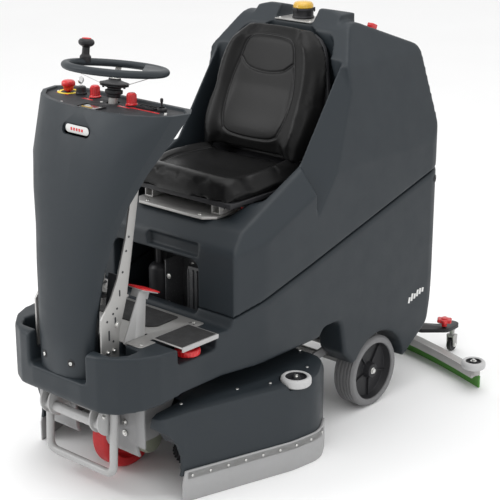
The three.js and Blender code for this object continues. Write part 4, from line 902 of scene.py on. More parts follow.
# %% Column frame and footwell
edged("column_frame", "column_post", STEEL, 0.0012)
# Painted shade: the slots and holes in the post are thin near-black sheets laid on its face.
holes = bmesh.new()
post_bolts = bmesh.new()
for side, sign in SIDES:
    out = (sign, 0, 0)
    for y, z, half_long, half_wide in ((-1046, 522, 16, 3), (-1020, 560, 12, 3), (-1000, 640, 10, 2.5)):
        cut_plate(pill(half_long, half_wide, 6), 0.5, mm(sign * 144, y, z), out, 0, holes)
    for y, z in (
        (-1052, 566), (-1028, 584), (-1012, 596), (-986, 700), (-970, 760), (-958, 800), (-1030, 500)
    ):
        turned_shape([(0, 0), (3.6, 0), (3.6, 0.5), (0, 0.5)], mm(sign * 144, y, z), out, 16, holes)
    for y, z in ((-1052, 470), (-1028, 470), (-1014, 548)):
        hex_bolt(post_bolts, mm(sign * 144, y, z), out, 9, 5)
piece("post_slots", holes, "chassis", BLACK_PANEL)
piece("post_bolts", post_bolts, "chassis", BRIGHT, 30)
rack = bmesh.new()
for k in range(9):
    slab((96, -1008 + 2.2 * k, 560 + 14 * k), (138, -992 + 2.2 * k, 567 + 14 * k), 1.0, rack)
slab((92, -1004, 548), (138, -1000, 690), 1.0, rack, Matrix.Rotation(math.radians(-9), 3, "X"))
piece("post_rack", rack, "chassis", BLACK_PANEL)
gaiter = [
    (15, 0), (30, 0), (33, 4), (27, 10), (32, 16), (26, 22), (30, 28), (24, 34), (28, 40), (20, 46),
    (15, 46)
]
boot_shape = turned_shape(rounded(gaiter, 2), Vector((0, 0, -0.675)))
in_wheel(boot_shape, "shaft_gaiter", "chassis", BLACK_PLASTIC)

edged("foot_plate", "foot_plate_sheet", STEEL, 0.0008)
edged("foot_mat", "foot_mat_sheet", MAT, 0.0012)
fittings = bmesh.new()
for x, y in ((196, -746), (-196, -746), (203, -975), (-203, -975), (-203, -860)):
    cap_screw(fittings, mm(x, y, 488), (0, 0, 1), 5.6, 2.4)
piece("foot_plate_screws", fittings, "chassis", BRIGHT)
# Painted shade: the holes in the foot plate are thin near-black discs laid on it.
slots = bmesh.new()
for x, y in ((186, -757), (204, -757), (188, -752)):
    turned_shape([(0, 0), (3, 0), (3, 0.4), (0, 0.4)], mm(x, y, 488), sides=14, shape=slots)
piece("foot_plate_holes", slots, "chassis", BLACK_PANEL)

edged("pedal_lever", "pedal_stem", PALE_PAINT, 0.0010)
PAD = Matrix.Translation(mm(0, -900, 628)) @ Matrix.Rotation(math.radians(-22), 4, "X")
pad = bmesh.new()
cut_plate(
    [(-33, -38), (33, -38), (33, 38), (-33, 38)], 3.6, Vector((0.139, 0, -0.0034)), soft=1.4, shape=pad
)
for k in range(9):
    y = -30 + 7.5 * k
    rib = bmesh.new()
    cut_plate(
        [(-29, -1.4), (29, -1.4), (29, 1.4), (-29, 1.4)], 1.6, Vector((0.139, y / 1000, 0.0001)),
        soft=0.6, shape=rib
    )
    merged(pad, rib)
bmesh.ops.transform(pad, matrix=PAD, verts=pad.verts)
stand_in(piece("pedal_tread", pad, "pedal", RED), "pedal_pad")
box_cheeks = bmesh.new()
for x in (117, 150.2):
    cut_plate(
        [(29, -23), (29, 14), (5, 14), (5, -23)], 1.6, Vector((x / 1000, 0, 0)), (1, 0, 0), 0.5,
        box_cheeks
    )
bmesh.ops.transform(box_cheeks, matrix=PAD, verts=box_cheeks.verts)
piece("pedal_box_cheeks", box_cheeks, "pedal", PALE_PAINT)

edged("filler_lid", "filler_lid_sheet", STEEL, 0.0009)
lid_top = bmesh.new()
slab((200, -918, 491.2), (311, -776, 492.2), 0.8, lid_top)
piece("filler_lid_grip", lid_top, "filler_lid", MAT)
edge_bar = bmesh.new()
slab((314.5, -922, 478.5), (319.2, -772, 492.4), 1.6, edge_bar)
piece("filler_lid_edge", edge_bar, "filler_lid", PALE_PAINT)
cap_shape = turned_shape(
    rounded([(0, 0.3), (38, 0.3), (38, 16), (34, 20), (24, 21), (22, 18), (0, 18)], 2),
    mm(262, -846, 438)
)
for k in range(24):
    a = 2 * math.pi * k / 24
    x, y = 262 + 37.6 * math.cos(a), -846 + 37.6 * math.sin(a)
    slab((x - 1.4, y - 2, 440), (x + 1.4, y + 2, 453), 1, cap_shape, Matrix.Rotation(a, 3, "Z"))
slab((236, -850, 456), (288, -842, 463), 3, cap_shape)
stand_in(piece("filler_cap_ribbed", cap_shape, "filler_cap", RED), "filler_cap")
print("footwell done")

# %% [markdown]
# ## Battery bay
#
# What shows through the doorway: the battery case with its lid bands, a charger on a bracket, a
# lift actuator and the terminals.

# %% Battery bay
edged("battery_pack", "battery_case", BLACK_PANEL, 0.004, 3)
bay = bmesh.new()
for k in range(4):
    y0 = -516 + 98 * k
    slab((-196, y0, 628), (196, y0 + 90, 646), 5, bay)
for k in range(7):
    x = -170 + 52 * k
    slab((x, -523, 395), (x + 34, -518, 615), 3, bay)
piece("battery_lids", bay, "chassis", BLACK_PLASTIC)
charger = bmesh.new()
slab((40, -610, 430), (150, -545, 600), 6, charger, Matrix.Rotation(math.radians(6), 3, "Z"))
for k in range(6):
    slab(
        (44 + 18 * k, -617, 440), (50 + 18 * k, -606, 590), 1.5, charger,
        Matrix.Rotation(math.radians(6), 3, "Z")
    )
piece("bay_charger", charger, "chassis", DARK_PAINT)
bracket = bmesh.new()
slab((-30, -640, 420), (-26, -560, 610), 1, bracket)
slab((-30, -562, 420), (36, -558, 610), 1, bracket)
slab((-150, -560, 404), (160, -556, 440), 1, bracket)
piece("bay_bracket", bracket, "chassis", DARK_PAINT)
can = turned_shape(
    rounded([(0, 0), (34, 0), (34, 128), (26, 138), (18, 142), (0, 142)], 4), mm(-66, -628, 448)
)
turned_shape(rounded([(0, 0), (11, 0), (11, 60), (0, 60)], 2), mm(-66, -628, 590), shape=can)
piece("bay_actuator", can, "chassis", BLACK_PLASTIC)
knobs = bmesh.new()
for x, y, z in ((-10, -642, 560), (-10, -642, 470), (20, -564, 585), (120, -562, 422)):
    hex_bolt(knobs, mm(x, y, z), (0, -1, 0), 9, 5)
piece("bay_bolts", knobs, "chassis", BRIGHT, 30)
terminals = bmesh.new()
for x in (-120, 120):
    hex_bolt(terminals, mm(x, -480, 645), (0, 0, 1), 13, 8)
piece("battery_terminals", terminals, "chassis", BRIGHT, 30)
print("battery bay done")

# %% [markdown]
# ## Seat
#
# The cushions are cloth: a shaped foam block is swollen a little under pressure with gravity off,
# and the swelling is capped. The sewn panel lines are pressed in afterwards, and a thin welt runs
# along each. The pan, rails and lever are hard pieces.

# %% Cushion maker
SEAT_HALF = 240.0


def smoothstep(t):
    t = min(1.0, max(0.0, t))
    return t * t * (3 - 2 * t)


def lump(x, centre, width):
    """A soft bump, 1 at its centre and 0 beyond its width."""
    return smoothstep(1 - abs(x - centre) / width)


def foam(columns, rows, place):
    """A closed block from a grid: place(u, v, face) gives the front (face 1) or back (0) point."""
    shape = bmesh.new()
    grids = []
    for face in (1, 0):
        grid = [
            [
                shape.verts.new(place(i / columns, k / rows, face)) for i in range(columns + 1)
            ] for k in range(rows + 1)
        ]
        grids.append(grid)
        for k in range(rows):
            for i in range(columns):
                shape.faces.new([grid[k][i], grid[k][i + 1], grid[k + 1][i + 1], grid[k + 1][i]])
    front, back = grids
    around = [(0, i) for i in range(columns)] + [(k, columns) for k in range(rows)]
    around += [(rows, i) for i in range(columns, 0, -1)] + [(k, 0) for k in range(rows, 0, -1)]
    for (k0, i0), (k1, i1) in zip(around, around[1:] + around[:1]):
        shape.faces.new([front[k0][i0], front[k1][i1], back[k1][i1], back[k0][i0]])
    return shape


def swollen(thing, cap, pressure=4.0):
    """Cloth pressure with gravity off, its swelling capped, then applied and subdivided once."""
    applied(
        thing, ("REMESH", {"mode": "VOXEL", "voxel_size": 0.0065}),
        ("SMOOTH", {"factor": 0.5, "iterations": 4})
    )
    rest = np.array([v.co for v in thing.data.vertices])
    cloth = thing.modifiers.new("swell", "CLOTH")
    cloth.settings.quality = 5
    cloth.settings.use_pressure = True
    cloth.settings.uniform_pressure_force = pressure
    cloth.settings.effector_weights.gravity = 0
    cloth.collision_settings.use_collision = False
    for number in range(1, 21):
        bpy.context.scene.frame_set(number)
    graph = bpy.context.evaluated_depsgraph_get()
    mesh = bpy.data.meshes.new_from_object(thing.evaluated_get(graph))
    thing.modifiers.clear()
    thing.data = mesh
    bpy.context.scene.frame_set(1)
    now = np.array([v.co for v in mesh.vertices])
    step = now - rest
    length = np.linalg.norm(step, axis=1, keepdims=True)
    step *= np.minimum(1.0, cap / np.maximum(length, 1e-9))
    mesh.vertices.foreach_set("co", (rest + step).ravel())
    mesh.update()
    applied(
        thing, ("SMOOTH", {"factor": 0.5, "iterations": 3}),
        ("SUBSURF", {"levels": 1, "render_levels": 1})
    )
    thing.data.shade_smooth()
    thing.data.materials.clear()
    thing.data.materials.append(VINYL)


def pressed(thing, lines, wide, deep, way):
    """Sewn channels: points near a line sink along a direction, deepest on the line."""
    sink = Vector(way).normalized()
    dense = [spot for line in lines for spot in line]
    from_lines = np.array([tuple(p) for p in dense])
    co = np.array([v.co for v in thing.data.vertices])
    nearest = np.full(len(co), 9.0)
    for spot in from_lines:
        gap = np.linalg.norm(co - spot, axis=1)
        nearest = np.minimum(nearest, gap)
    amount = np.clip(1 - nearest / (wide / 1000), 0, 1)
    amount = amount * amount * (3 - 2 * amount) * deep / 1000
    co += amount[:, None] * np.array(sink)[None, :]
    thing.data.vertices.foreach_set("co", co.ravel())
    thing.data.update()


def on_surface(thing, spots, way):
    """Each point moved along a direction onto the piece."""
    tree = BVHTree.FromPolygons(
        [v.co for v in thing.data.vertices], [p.vertices for p in thing.data.polygons]
    )
    found = []
    for spot in spots:
        hit = tree.ray_cast(spot - Vector(way) * 0.3, Vector(way))[0]
        if hit is not None:
            found.append(hit)
    return found


print("cushion maker ready")

# %% Back cushion
BACK_LOW, BACK_HIGH = 892.0, 1283.0
back_rear_low, back_rear_high = -194.0, -110.0


def back_half(z):
    """Half the width of the backrest at a height: wide at the hips, egg-shaped at the top."""
    t = (z - BACK_LOW) / (BACK_HIGH - BACK_LOW)
    if t < 0.45:
        return 226 + 10 * math.sin(t / 0.45 * math.pi)
    fall = (t - 0.45) / 0.55
    return 226 - 14 * fall - 78 * fall**4.2


def back_depth(u, t):
    """How far the padding stands ahead of the shell."""
    side = abs(2 * u - 1)
    wing = 30 * lump(side, 0.80, 0.30) * (1 - 0.35 * t)
    middle = 14 * (1 - side**2)
    lumbar = 26 * lump(t, 0.18, 0.36) * (1 - side**3)
    edge = -34 * smoothstep((side - 0.86) / 0.14)
    crown = -16 * smoothstep((t - 0.88) / 0.12)
    base = 62 - 34 * t
    return base + wing + middle + lumbar + edge + crown


def back_place(u, v, face):
    z = BACK_LOW + (BACK_HIGH - BACK_LOW) * v
    x = (2 * u - 1) * back_half(z)
    rear = back_rear_low + (back_rear_high - back_rear_low) * v
    if face == 0:
        return mm(x, rear - 2, z)
    sag = 10 * (1 - abs(2 * u - 1) ** 2) * smoothstep((v - 0.9) / 0.1)
    return mm(x, rear - max(8, back_depth(u, v)), z + sag - 6 * abs(2 * u - 1) ** 4 * (1 - v))


back = piece("back_cushion_vinyl", foam(48, 40, back_place), "seat", VINYL, 180)
swollen(back, 0.007)


def back_line(points):
    """A sewn line on the backrest, from (x, z) corners, smoothed and laid on the surface."""
    corners = [Vector((x, z, 0)) for x, z in points]
    dense = []
    for a, b, c, d in zip([corners[0], *corners], corners, corners[1:], [*corners[2:], corners[-1]]):
        for k in range(14):
            t = k / 14
            spot = 0.5 * (
                2 * b + (c - a) * t + (
                    2 * a - 5 * b + 4 * c - d
                ) * t * t + (3 * b - a - 3 * c + d) * t**3
            )
            dense.append(mm(spot.x, -260, spot.y))
    return on_surface(back, dense, (0, 1, 0))


panel_side = [
    (112, 956), (128, 1000), (134, 1060), (128, 1120), (112, 1180), (102, 1220), (84, 1243), (50, 1252),
    (0, 1254)
]
panel = [(x, z) for x, z in panel_side] + [(-x, z) for x, z in panel_side[-2::-1]]
bottom = [(-112, 956), (-80, 944), (0, 940), (80, 944), (112, 956)]
cross = [(-108, 1176), (-70, 1150), (0, 1141), (70, 1150), (108, 1176)]
back_lines = [back_line(panel), back_line(bottom), back_line(cross)]
pressed(back, back_lines, 7.0, 3.2, (0, 1, 0))
for number, line in enumerate(back_lines):
    laid = on_surface(back, [p + Vector((0, -0.05, 0)) for p in line], (0, 1, 0))
    tube(
        f"back_welt_{number + 1}", [p + Vector((0, -0.0006, 0)) for p in laid], 1.0, "seat", THREAD,
    )
stand_in(back, "back_cushion")
print("back cushion:", len(back.data.vertices), "points")

# %% Seat cushion
FRONT, REAR = -642.0, -262.0
SEAT_LOW = 834.0


def seat_half(v):
    return SEAT_HALF - 3 - 16 * smoothstep((0.16 - v) / 0.16) - 8 * smoothstep((v - 0.85) / 0.15)


def seat_height(u, v):
    """Height of the sitting surface: a front roll, a hollow seat and raised sides."""
    side = abs(2 * u - 1)
    roll = 20 * lump(v, 0.16, 0.20) * (1 - 0.4 * side**2)
    hollow = -14 * (1 - side**2) * lump(v, 0.60, 0.42)
    wing = 20 * lump(side, 0.82, 0.26) * smoothstep((v - 0.1) / 0.5)
    edge = -24 * smoothstep((side - 0.84) / 0.16)
    nose = -46 * smoothstep((0.09 - v) / 0.09)
    return 872 + roll + hollow + wing + edge + nose + 4 * v


def seat_place(u, v, face):
    x = (2 * u - 1) * seat_half(v)
    bow = 16 * (1 - abs(2 * u - 1) ** 2.4) * (1 - v)
    y = FRONT + 16 + (REAR - FRONT - 18) * v - bow
    if face == 0:
        return mm(x * 0.97, y + 8 * (1 - v), SEAT_LOW)
    return mm(x, y, seat_height(u, v))


seat = piece("seat_cushion_vinyl", foam(52, 44, seat_place), "seat", VINYL, 180)
swollen(seat, 0.008)


def seat_line(points):
    corners = [Vector((x, y, 0)) for x, y in points]
    dense = []
    for a, b, c, d in zip([corners[0], *corners], corners, corners[1:], [*corners[2:], corners[-1]]):
        for k in range(14):
            t = k / 14
            spot = 0.5 * (
                2 * b + (c - a) * t + (
                    2 * a - 5 * b + 4 * c - d
                ) * t * t + (3 * b - a - 3 * c + d) * t**3
            )
            dense.append(mm(spot.x, spot.y, 1000))
    return on_surface(seat, dense, (0, 0, -1))


roll_line = seat_line(
    [(-150, -528), (-120, -540), (-60, -546), (0, -548), (60, -546), (120, -540), (150, -528)]
)
left_line = seat_line([(150, -528), (164, -480), (166, -420), (158, -350), (146, -290)])
right_line = seat_line([(-150, -528), (-164, -480), (-166, -420), (-158, -350), (-146, -290)])
seat_lines = [roll_line, left_line, right_line]
pressed(seat, seat_lines, 7.5, 3.4, (0, 0, -1))
for number, line in enumerate(seat_lines):
    laid = on_surface(seat, [p + Vector((0, 0, 0.05)) for p in line], (0, 0, -1))
    tube(
        f"seat_welt_{number + 1}", [p + Vector((0, 0, 0.0006)) for p in laid], 1.0, "seat", THREAD,
    )
stand_in(seat, "seat_cushion")
print("seat cushion:", len(seat.data.vertices), "points")

# %% Seat pan, rails and lever
edged("seat_shell", "seat_pan", BLACK_PLASTIC, 0.004, 3)
edged("seat_plate", "seat_base_plate", STEEL, 0.0012)
edged("seat_lever", "seat_lever_bar", STEEL, 0.0012)
grip_shape = bmesh.new()
slab((178, -518, 783.5), (194, -476, 797.0), 5, grip_shape)
piece("seat_lever_grip", grip_shape, "seat_lever", RED)
rail_bits = bmesh.new()
for side, sign in SIDES:
    for y in (-575, -505, -435, -365, -295, -245):
        hex_bolt(rail_bits, mm(sign * 160, y, 798), (sign, 0, 0), 6, 4)
    for y in (-628, -240):
        cap_screw(rail_bits, mm(sign * 112, y, 784), (0, 0, 1), 6, 3)
piece("rail_bolts", rail_bits, "upper_tank", BRIGHT, 30)
teeth = bmesh.new()
for k in range(12):
    y = -600 + 26 * k
    slab((161, y, 811.5), (169, y + 13, 814.5), 0.8, teeth)
    slab((-169, y, 811.5), (-161, y + 13, 814.5), 0.8, teeth)
piece("rail_teeth", teeth, "upper_tank", STEEL)
print("seat hardware done")

# %% [markdown]
# ## Beacon
#
# A ribbed amber dome on a black socket, standing on a folded steel plate between two ridges.

# %% Beacon
edged("beacon_bracket", "beacon_plate", STEEL, 0.0008)
socket = [(0, 0.3), (36, 0.3), (36, 6), (33.5, 8), (33.5, 24), (36, 26), (36, 31), (33, 34), (0, 34)]
stand_in(
    turned("beacon_socket", socket, mm(0, -8, 1291), "upper_tank", BLACK_PLASTIC, sides=64),
    "beacon_base"
)
dome = [
    (0, 0), (33.6, 0), (34, 3), (33.2, 5), (33.8, 7), (32.6, 9), (32.8, 11), (30.8, 13), (29.6, 15.6)
]
dome += [(26, 18), (20, 19.8), (11, 21), (0, 21.4)]
stand_in(
    turned("beacon_dome", dome, mm(0, -8, 1325.6), "upper_tank", AMBER, sides=72, round_by=0.8),
    "beacon_lens"
)
clips = bmesh.new()
for k in range(3):
    a = math.radians(30 + 120 * k)
    x, y = 37 * math.cos(a), -8 + 37 * math.sin(a)
    slab((x - 2, y - 5, 1313), (x + 2, y + 5, 1327), 1, clips, Matrix.Rotation(a, 3, "Z"))
piece("beacon_clips", clips, "upper_tank", BLACK_PLASTIC)
plate_screws = bmesh.new()
for x, y in ((-64, -48), (64, -48), (-64, 30), (64, 30)):
    cap_screw(plate_screws, mm(x, y, 1291), (0, 0, 1), 4.5, 2.5)
piece("beacon_plate_screws", plate_screws, "upper_tank", BRIGHT)
print("beacon done")

# %% [markdown]
# ## Chassis, bumper and drive unit
#
# A welded frame under the tank. In front of it stand a cross tube between round ears and a U-bar
# bent from tube; behind them the fork carries the red drive wheel and its finned motor.

# %% Chassis, bumper and drive unit
edged("chassis_frame", "chassis_weldment", GREY_PAINT, 0.0014)
bumper = turned_shape(
    rounded(
        [(13, -124), (16, -124), (16, 124), (13, 124), (13, -124)], 0.8
    ), mm(0, -1060, 236), (1, 0, 0), 48
)
bmesh.ops.remove_doubles(bumper, verts=bumper.verts, dist=1e-6)
EAR_OUTLINE = [(-z, min(y, 37.6)) for y, z in arc_points(0, 0, 50, 0, 354, 59)]
for x in (88, 122):
    for side in (x, -x - 6):
        cut_plate(EAR_OUTLINE, 6, mm(side, -1038, 250), (1, 0, 0), 1.0, bumper)
slab((-130, -1006, 230), (130, -1000.4, 300), 1, bumper)
slab((-130, -1060, 300), (130, -1000.4, 306), 1.5, bumper)
stand_in(piece("bumper_bracket", bumper, "chassis", PALE_PAINT), "front_cross_tube")
u_bar = bent_path([(141, -1033, 288), (141, -1043, 74), (-141, -1043, 74), (-141, -1033, 288)], 34, 12)
stand_in(tube("bumper_u_bar", u_bar, 12.5, "chassis", PALE_PAINT, 32), "front_bar")
bumper_bolts = bmesh.new()
for sign in (1, -1):
    for y, z in ((-1022, 226), (-1022, 276), (-1062, 266)):
        hex_bolt(bumper_bolts, mm(sign * 128, y, z), (sign, 0, 0), 10, 6)
    for z in (180, 215):
        hex_bolt(bumper_bolts, mm(sign * 150, -1000, z + 20), (0, -1, 0), 10, 6)
piece("bumper_bolts", bumper_bolts, "chassis", BRIGHT, 30)

edged("drive_fork", "drive_fork_casting", OLIVE_PAINT, 0.003, 3)
motor = [(0, 0), (40, 0), (44, 5)]
for k in range(6):
    motor += [(44, 10 + 8 * k), (41, 11 + 8 * k), (41, 15 + 8 * k), (44, 16 + 8 * k)]
motor += [(44, 62), (38, 73), (14, 74), (0, 74)]
stand_in(
    turned("drive_motor_finned", motor, mm(49.3, -858, 115), "drive_unit", OLIVE_PAINT, (1, 0, 0), 56),
    "drive_motor"
)
drive_bits = bmesh.new()
for sign in (1, -1):
    for y, z in ((-880, 220), (-836, 220)):
        hex_bolt(drive_bits, mm(sign * 49, y, z), (sign, 0, 0), 9, 5)
hex_bolt(drive_bits, mm(-49, -858, 115), (-1, 0, 0), 18, 9)
piece("drive_bolts", drive_bits, "drive_unit", BRIGHT, 30)


def rolling(node, place, half, radius, rim, bore, disc, tread, hub_material, ribs=10, grooves=0):
    """A tyre with rounded shoulders on a dished hub with ribs."""
    body, axis = node, (1, 0, 0)
    tyre = [(rim, 0), (rim, -half + 3), (rim + 3, -half), (radius - 8, -half), (radius, -half + 9)]
    for k in range(grooves):
        h = (half - 14) * (2 * k / (grooves - 1) - 1)
        tyre += [(radius, h - 2), (radius - 4, h - 1.4), (radius - 4, h + 1.4), (radius, h + 2)]
    tyre += [(radius, half - 9), (radius - 8, half), (rim + 3, half), (rim, half - 3), (rim, 0)]
    shape = turned_shape(rounded(tyre, 4), place, axis, 96)
    bmesh.ops.remove_doubles(shape, verts=shape.verts, dist=1e-6)
    stand_in(piece(f"{node}_tyre", shape, body, tread), node)
    boss = bore + 13
    hub = [
        (bore, 0), (bore, -half + 5), (boss, -half + 5), (boss + 5, -disc), (rim - 8, -disc),
        (rim - 0.2, -half + 5)
    ]
    hub += [
        (rim - 0.2, half - 5), (rim - 8, disc), (boss + 5, disc), (boss, half - 5), (bore, half - 5),
        (bore, 0)
    ]
    shape = turned_shape(rounded(hub, 2.5), place, axis, 72)
    bmesh.ops.remove_doubles(shape, verts=shape.verts, dist=1e-6)
    for k in range(ribs):
        a = 2 * math.pi * k / ribs
        rib = bmesh.new()
        reach = (boss + rim) / 2
        wide = (rim - boss) / 2 - 1
        cut_plate(
            [(-wide, -1.6), (wide, -1.6), (wide, 1.6), (-wide, 1.6)], 2 * disc + 14,
            Vector((reach, 0, -disc - 7)) / 1000, soft=1, shape=rib
        )
        turn = Vector((0, 0, 1)).rotation_difference(Vector(axis)).to_matrix().to_4x4()
        bmesh.ops.transform(
            rib, matrix=Matrix.Translation(place) @ turn @ Matrix.Rotation(a, 4, "Z"), verts=rib.verts
        )
        merged(shape, rib)
    piece(f"{node}_hub", shape, body, hub_material)


rolling("drive_wheel", mm(0, -858, 115), 33, 115, 82, 11, 17, RED_TYRE, RED_TYRE, ribs=8)
print("front done")

# %% [markdown]
# ## Rear wheels and lift arms
#
# Light grey tyres on dark dished hubs, with a bright nut on the axle's end.

# %% Rear wheels and lift arms
edged("rear_axle", "rear_axle_bar", STEEL, 0.001)
for side, sign in SIDES:
    rolling(
        f"rear_wheel_{side}", mm(sign * 284, 0, 125), 41, 125, 99, 11, 12, GREY_TYRE, BLACK_PLASTIC,
        ribs=5, grooves=5
    )
    nut = hex_bolt(bmesh.new(), mm(sign * 317, 0, 125), (sign, 0, 0), 15, 8)
    piece(f"axle_nut_{side}", nut, "chassis", BRIGHT, 30)
edged("lift_arms", "lift_arm_weldment", GREY_PAINT, 0.0016)
print("rear wheels done")

# %% [markdown]
# ## Scrub deck
#
# Two disc brushes with rows of bristles, a rubber skirt held by a strip with a row of screws round
# each side, and a bumper wheel on each shoulder.

# %% Scrub deck
def smooth_outline(corners, steps=14):
    """An outline from corners (x, y, radius), each corner an arc."""
    out = []
    for k, (x, y, radius) in enumerate(corners):
        here = Vector((x, y))
        back = (Vector(corners[k - 1][:2]) - here).normalized()
        onward = (Vector(corners[(k + 1) % len(corners)][:2]) - here).normalized()
        half = back.angle(onward) / 2
        reach = radius / math.tan(half)
        centre = here + (back + onward).normalized() * radius / math.sin(half)
        first, last = here + back * reach - centre, here + onward * reach - centre
        sweep = math.pi - 2 * half
        for n in range(steps + 1):
            t = n / steps
            spot = (first * math.sin((1 - t) * sweep) + last * math.sin(t * sweep)) / math.sin(sweep)
            out.append(spot + centre)
    return out


DECK_CORNERS = [
    (302, -1005, 38),
    (318, -905, 200),
    (424, -560, 220),
    (438, -440, 110),
    (352, -302, 100),
    (190, -300, 40),
]
BRUSH_Y = -575


def grown(corners, by):
    return [(x + by, y + (by if y > BRUSH_Y else -by), r + by) for x, y, r in corners]


def spaced(points, step):
    """Places along a line of points, one every so many millimetres, each with its direction."""
    out, left = [], step / 2
    for a, b in zip(points, points[1:]):
        run = (b - a).length
        while left <= run:
            out.append((a.lerp(b, left / run), (b - a).normalized()))
            left += step
        left -= run
    return out


for side, sign in SIDES:
    edged(f"skirt_{side}", f"skirt_{side}_rubber", GREY_RUBBER, 0.0012)
    edge = [
        p for p in smooth_outline(
            [*grown(DECK_CORNERS, 6.3), (-190, -294, 20)]
        ) if p.x > 100 and -915 < p.y < -372
    ]
    strip = bmesh.new()
    outer = [Vector((sign * (p.x + 1.6), p.y)) for p in edge]
    low = [strip.verts.new(mm(p.x, p.y, 74)) for p in outer]
    high = [strip.verts.new(mm(p.x, p.y, 94)) for p in outer]
    for k in range(len(outer) - 1):
        strip.faces.new([low[k], low[k + 1], high[k + 1], high[k]])
    bmesh.ops.solidify(strip, geom=strip.faces, thickness=0.0016)
    piece(f"skirt_{side}_strip", strip, "deck", PALE_PAINT, 40)
    heads = bmesh.new()
    for spot, way in spaced(outer, 62):
        out = Vector((way.y, -way.x, 0))
        if out.x * sign < 0:
            out = -out
        cap_screw(heads, mm(spot.x, spot.y, 84) + out * 0.0008, out, 4.4, 2.4)
    piece(f"skirt_{side}_screws", heads, "deck", BRIGHT)

    x, y = sign * 196, -575
    disc = [
        (16, 50), (16, 100), (58, 100), (60, 98), (60, 80), (64, 78), (160, 74), (172, 66), (174, 44),
        (100, 44)
    ]
    disc += [(96, 50), (16, 50)]
    shape = turned_shape(rounded(disc, 1.5), mm(x, y, 0), sides=64)
    bmesh.ops.remove_doubles(shape, verts=shape.verts, dist=1e-6)
    stand_in(piece(f"brush_{side}_disc", shape, f"brush_{side}", BLACK_PLASTIC), f"brush_{side}")
    tufts = bmesh.new()
    for ring_radius, count in ((184, 56), (166, 50), (148, 44), (130, 38), (113, 32)):
        for k in range(count):
            a = 2 * math.pi * k / count
            top = Vector(
                (x + (ring_radius - 10) * math.cos(a), y + (ring_radius - 10) * math.sin(a), 46)
            )
            low = Vector(
                (x + (ring_radius + 3) * math.cos(a), y + (ring_radius + 3) * math.sin(a), 1.6)
            )
            way = (low - top).normalized()
            tall = (low - top).length
            turned_shape([(0, 0), (3.4, 0), (5.6, tall), (0, tall - 2)], mm(*top), way, 6, tufts)
    piece(f"brush_{side}_bristles", tufts, f"brush_{side}", BLACK_PANEL, 30)


def bumper_wheel(node, x, y, z, radius, height, holder):
    """A soft ring on a dark centre, held down by a washer and a bolt."""
    ring = [
        (radius - 15, height / 2), (radius - 15, 1), (radius - 6, 0), (radius, 6), (radius, height - 6)
    ]
    ring += [(radius - 6, height), (radius - 15, height - 1), (radius - 15, height / 2)]
    shape = turned_shape(rounded(ring, 4), mm(x, y, z), sides=72)
    bmesh.ops.remove_doubles(shape, verts=shape.verts, dist=1e-6)
    stand_in(piece(f"{node}_ring", shape, node, PALE_RING), node)
    centre = [
        (7, 2), (radius - 15.2, 1), (radius - 15.2, height - 2), (radius - 18, height - 3),
        (radius - 19, height - 8)
    ]
    centre += [(15, height - 8), (13, height - 3), (7, height - 3), (7, 2)]
    shape = turned_shape(rounded(centre, 1.2), mm(x, y, z), sides=56)
    bmesh.ops.remove_doubles(shape, verts=shape.verts, dist=1e-6)
    piece(f"{node}_centre", shape, node, BLACK_PLASTIC)
    bolt = hex_bolt(bmesh.new(), mm(x, y, z + height - 2.5), (0, 0, 1), 11, 7)
    piece(f"{node}_bolt", bolt, holder, BRIGHT, 30)


for side, sign in SIDES:
    bumper_wheel(f"deck_roller_{side}", sign * 402, -512, 269, 48, 30, "deck")
deck_screws = bmesh.new()
for side, sign in SIDES:
    for x, y in ((300, -880), (352, -690), (398, -590), (404, -420), (300, -330)):
        spot, normal = surface_hit(deck, mm(sign * (x - 34), y, 400), (0, 0, -1))
        if normal.z > 0.5:
            cap_screw(deck_screws, spot, normal, 5.5, 2.6)
piece("deck_screws", deck_screws, "deck", BRIGHT)
print("deck done")

# %% [markdown]
# ## Squeegee
#
# A curved green blade clamped under a grey beam by a bright strap, carried by the tow arm with two
# lobed red knobs and two small castors, and a bumper wheel at each tip.

# %% Squeegee
HALF = 516.0


def squeegee_arc(x, offset=0.0):
    return 508 - 141 * (abs(x) / HALF) ** 1.45 + offset


def along_blade(name, front, rear, half, z0, z1, soft, body, material, steps=64):
    """A strip that follows the blade's curve."""
    xs = np.linspace(-half, half, steps + 1)
    points = [(x, squeegee_arc(x, front)) for x in xs] + [(x, squeegee_arc(x, rear)) for x in xs[::-1]]
    return piece(name, cut_plate(points, z1 - z0, mm(0, 0, z0), soft=soft), body, material, 40)


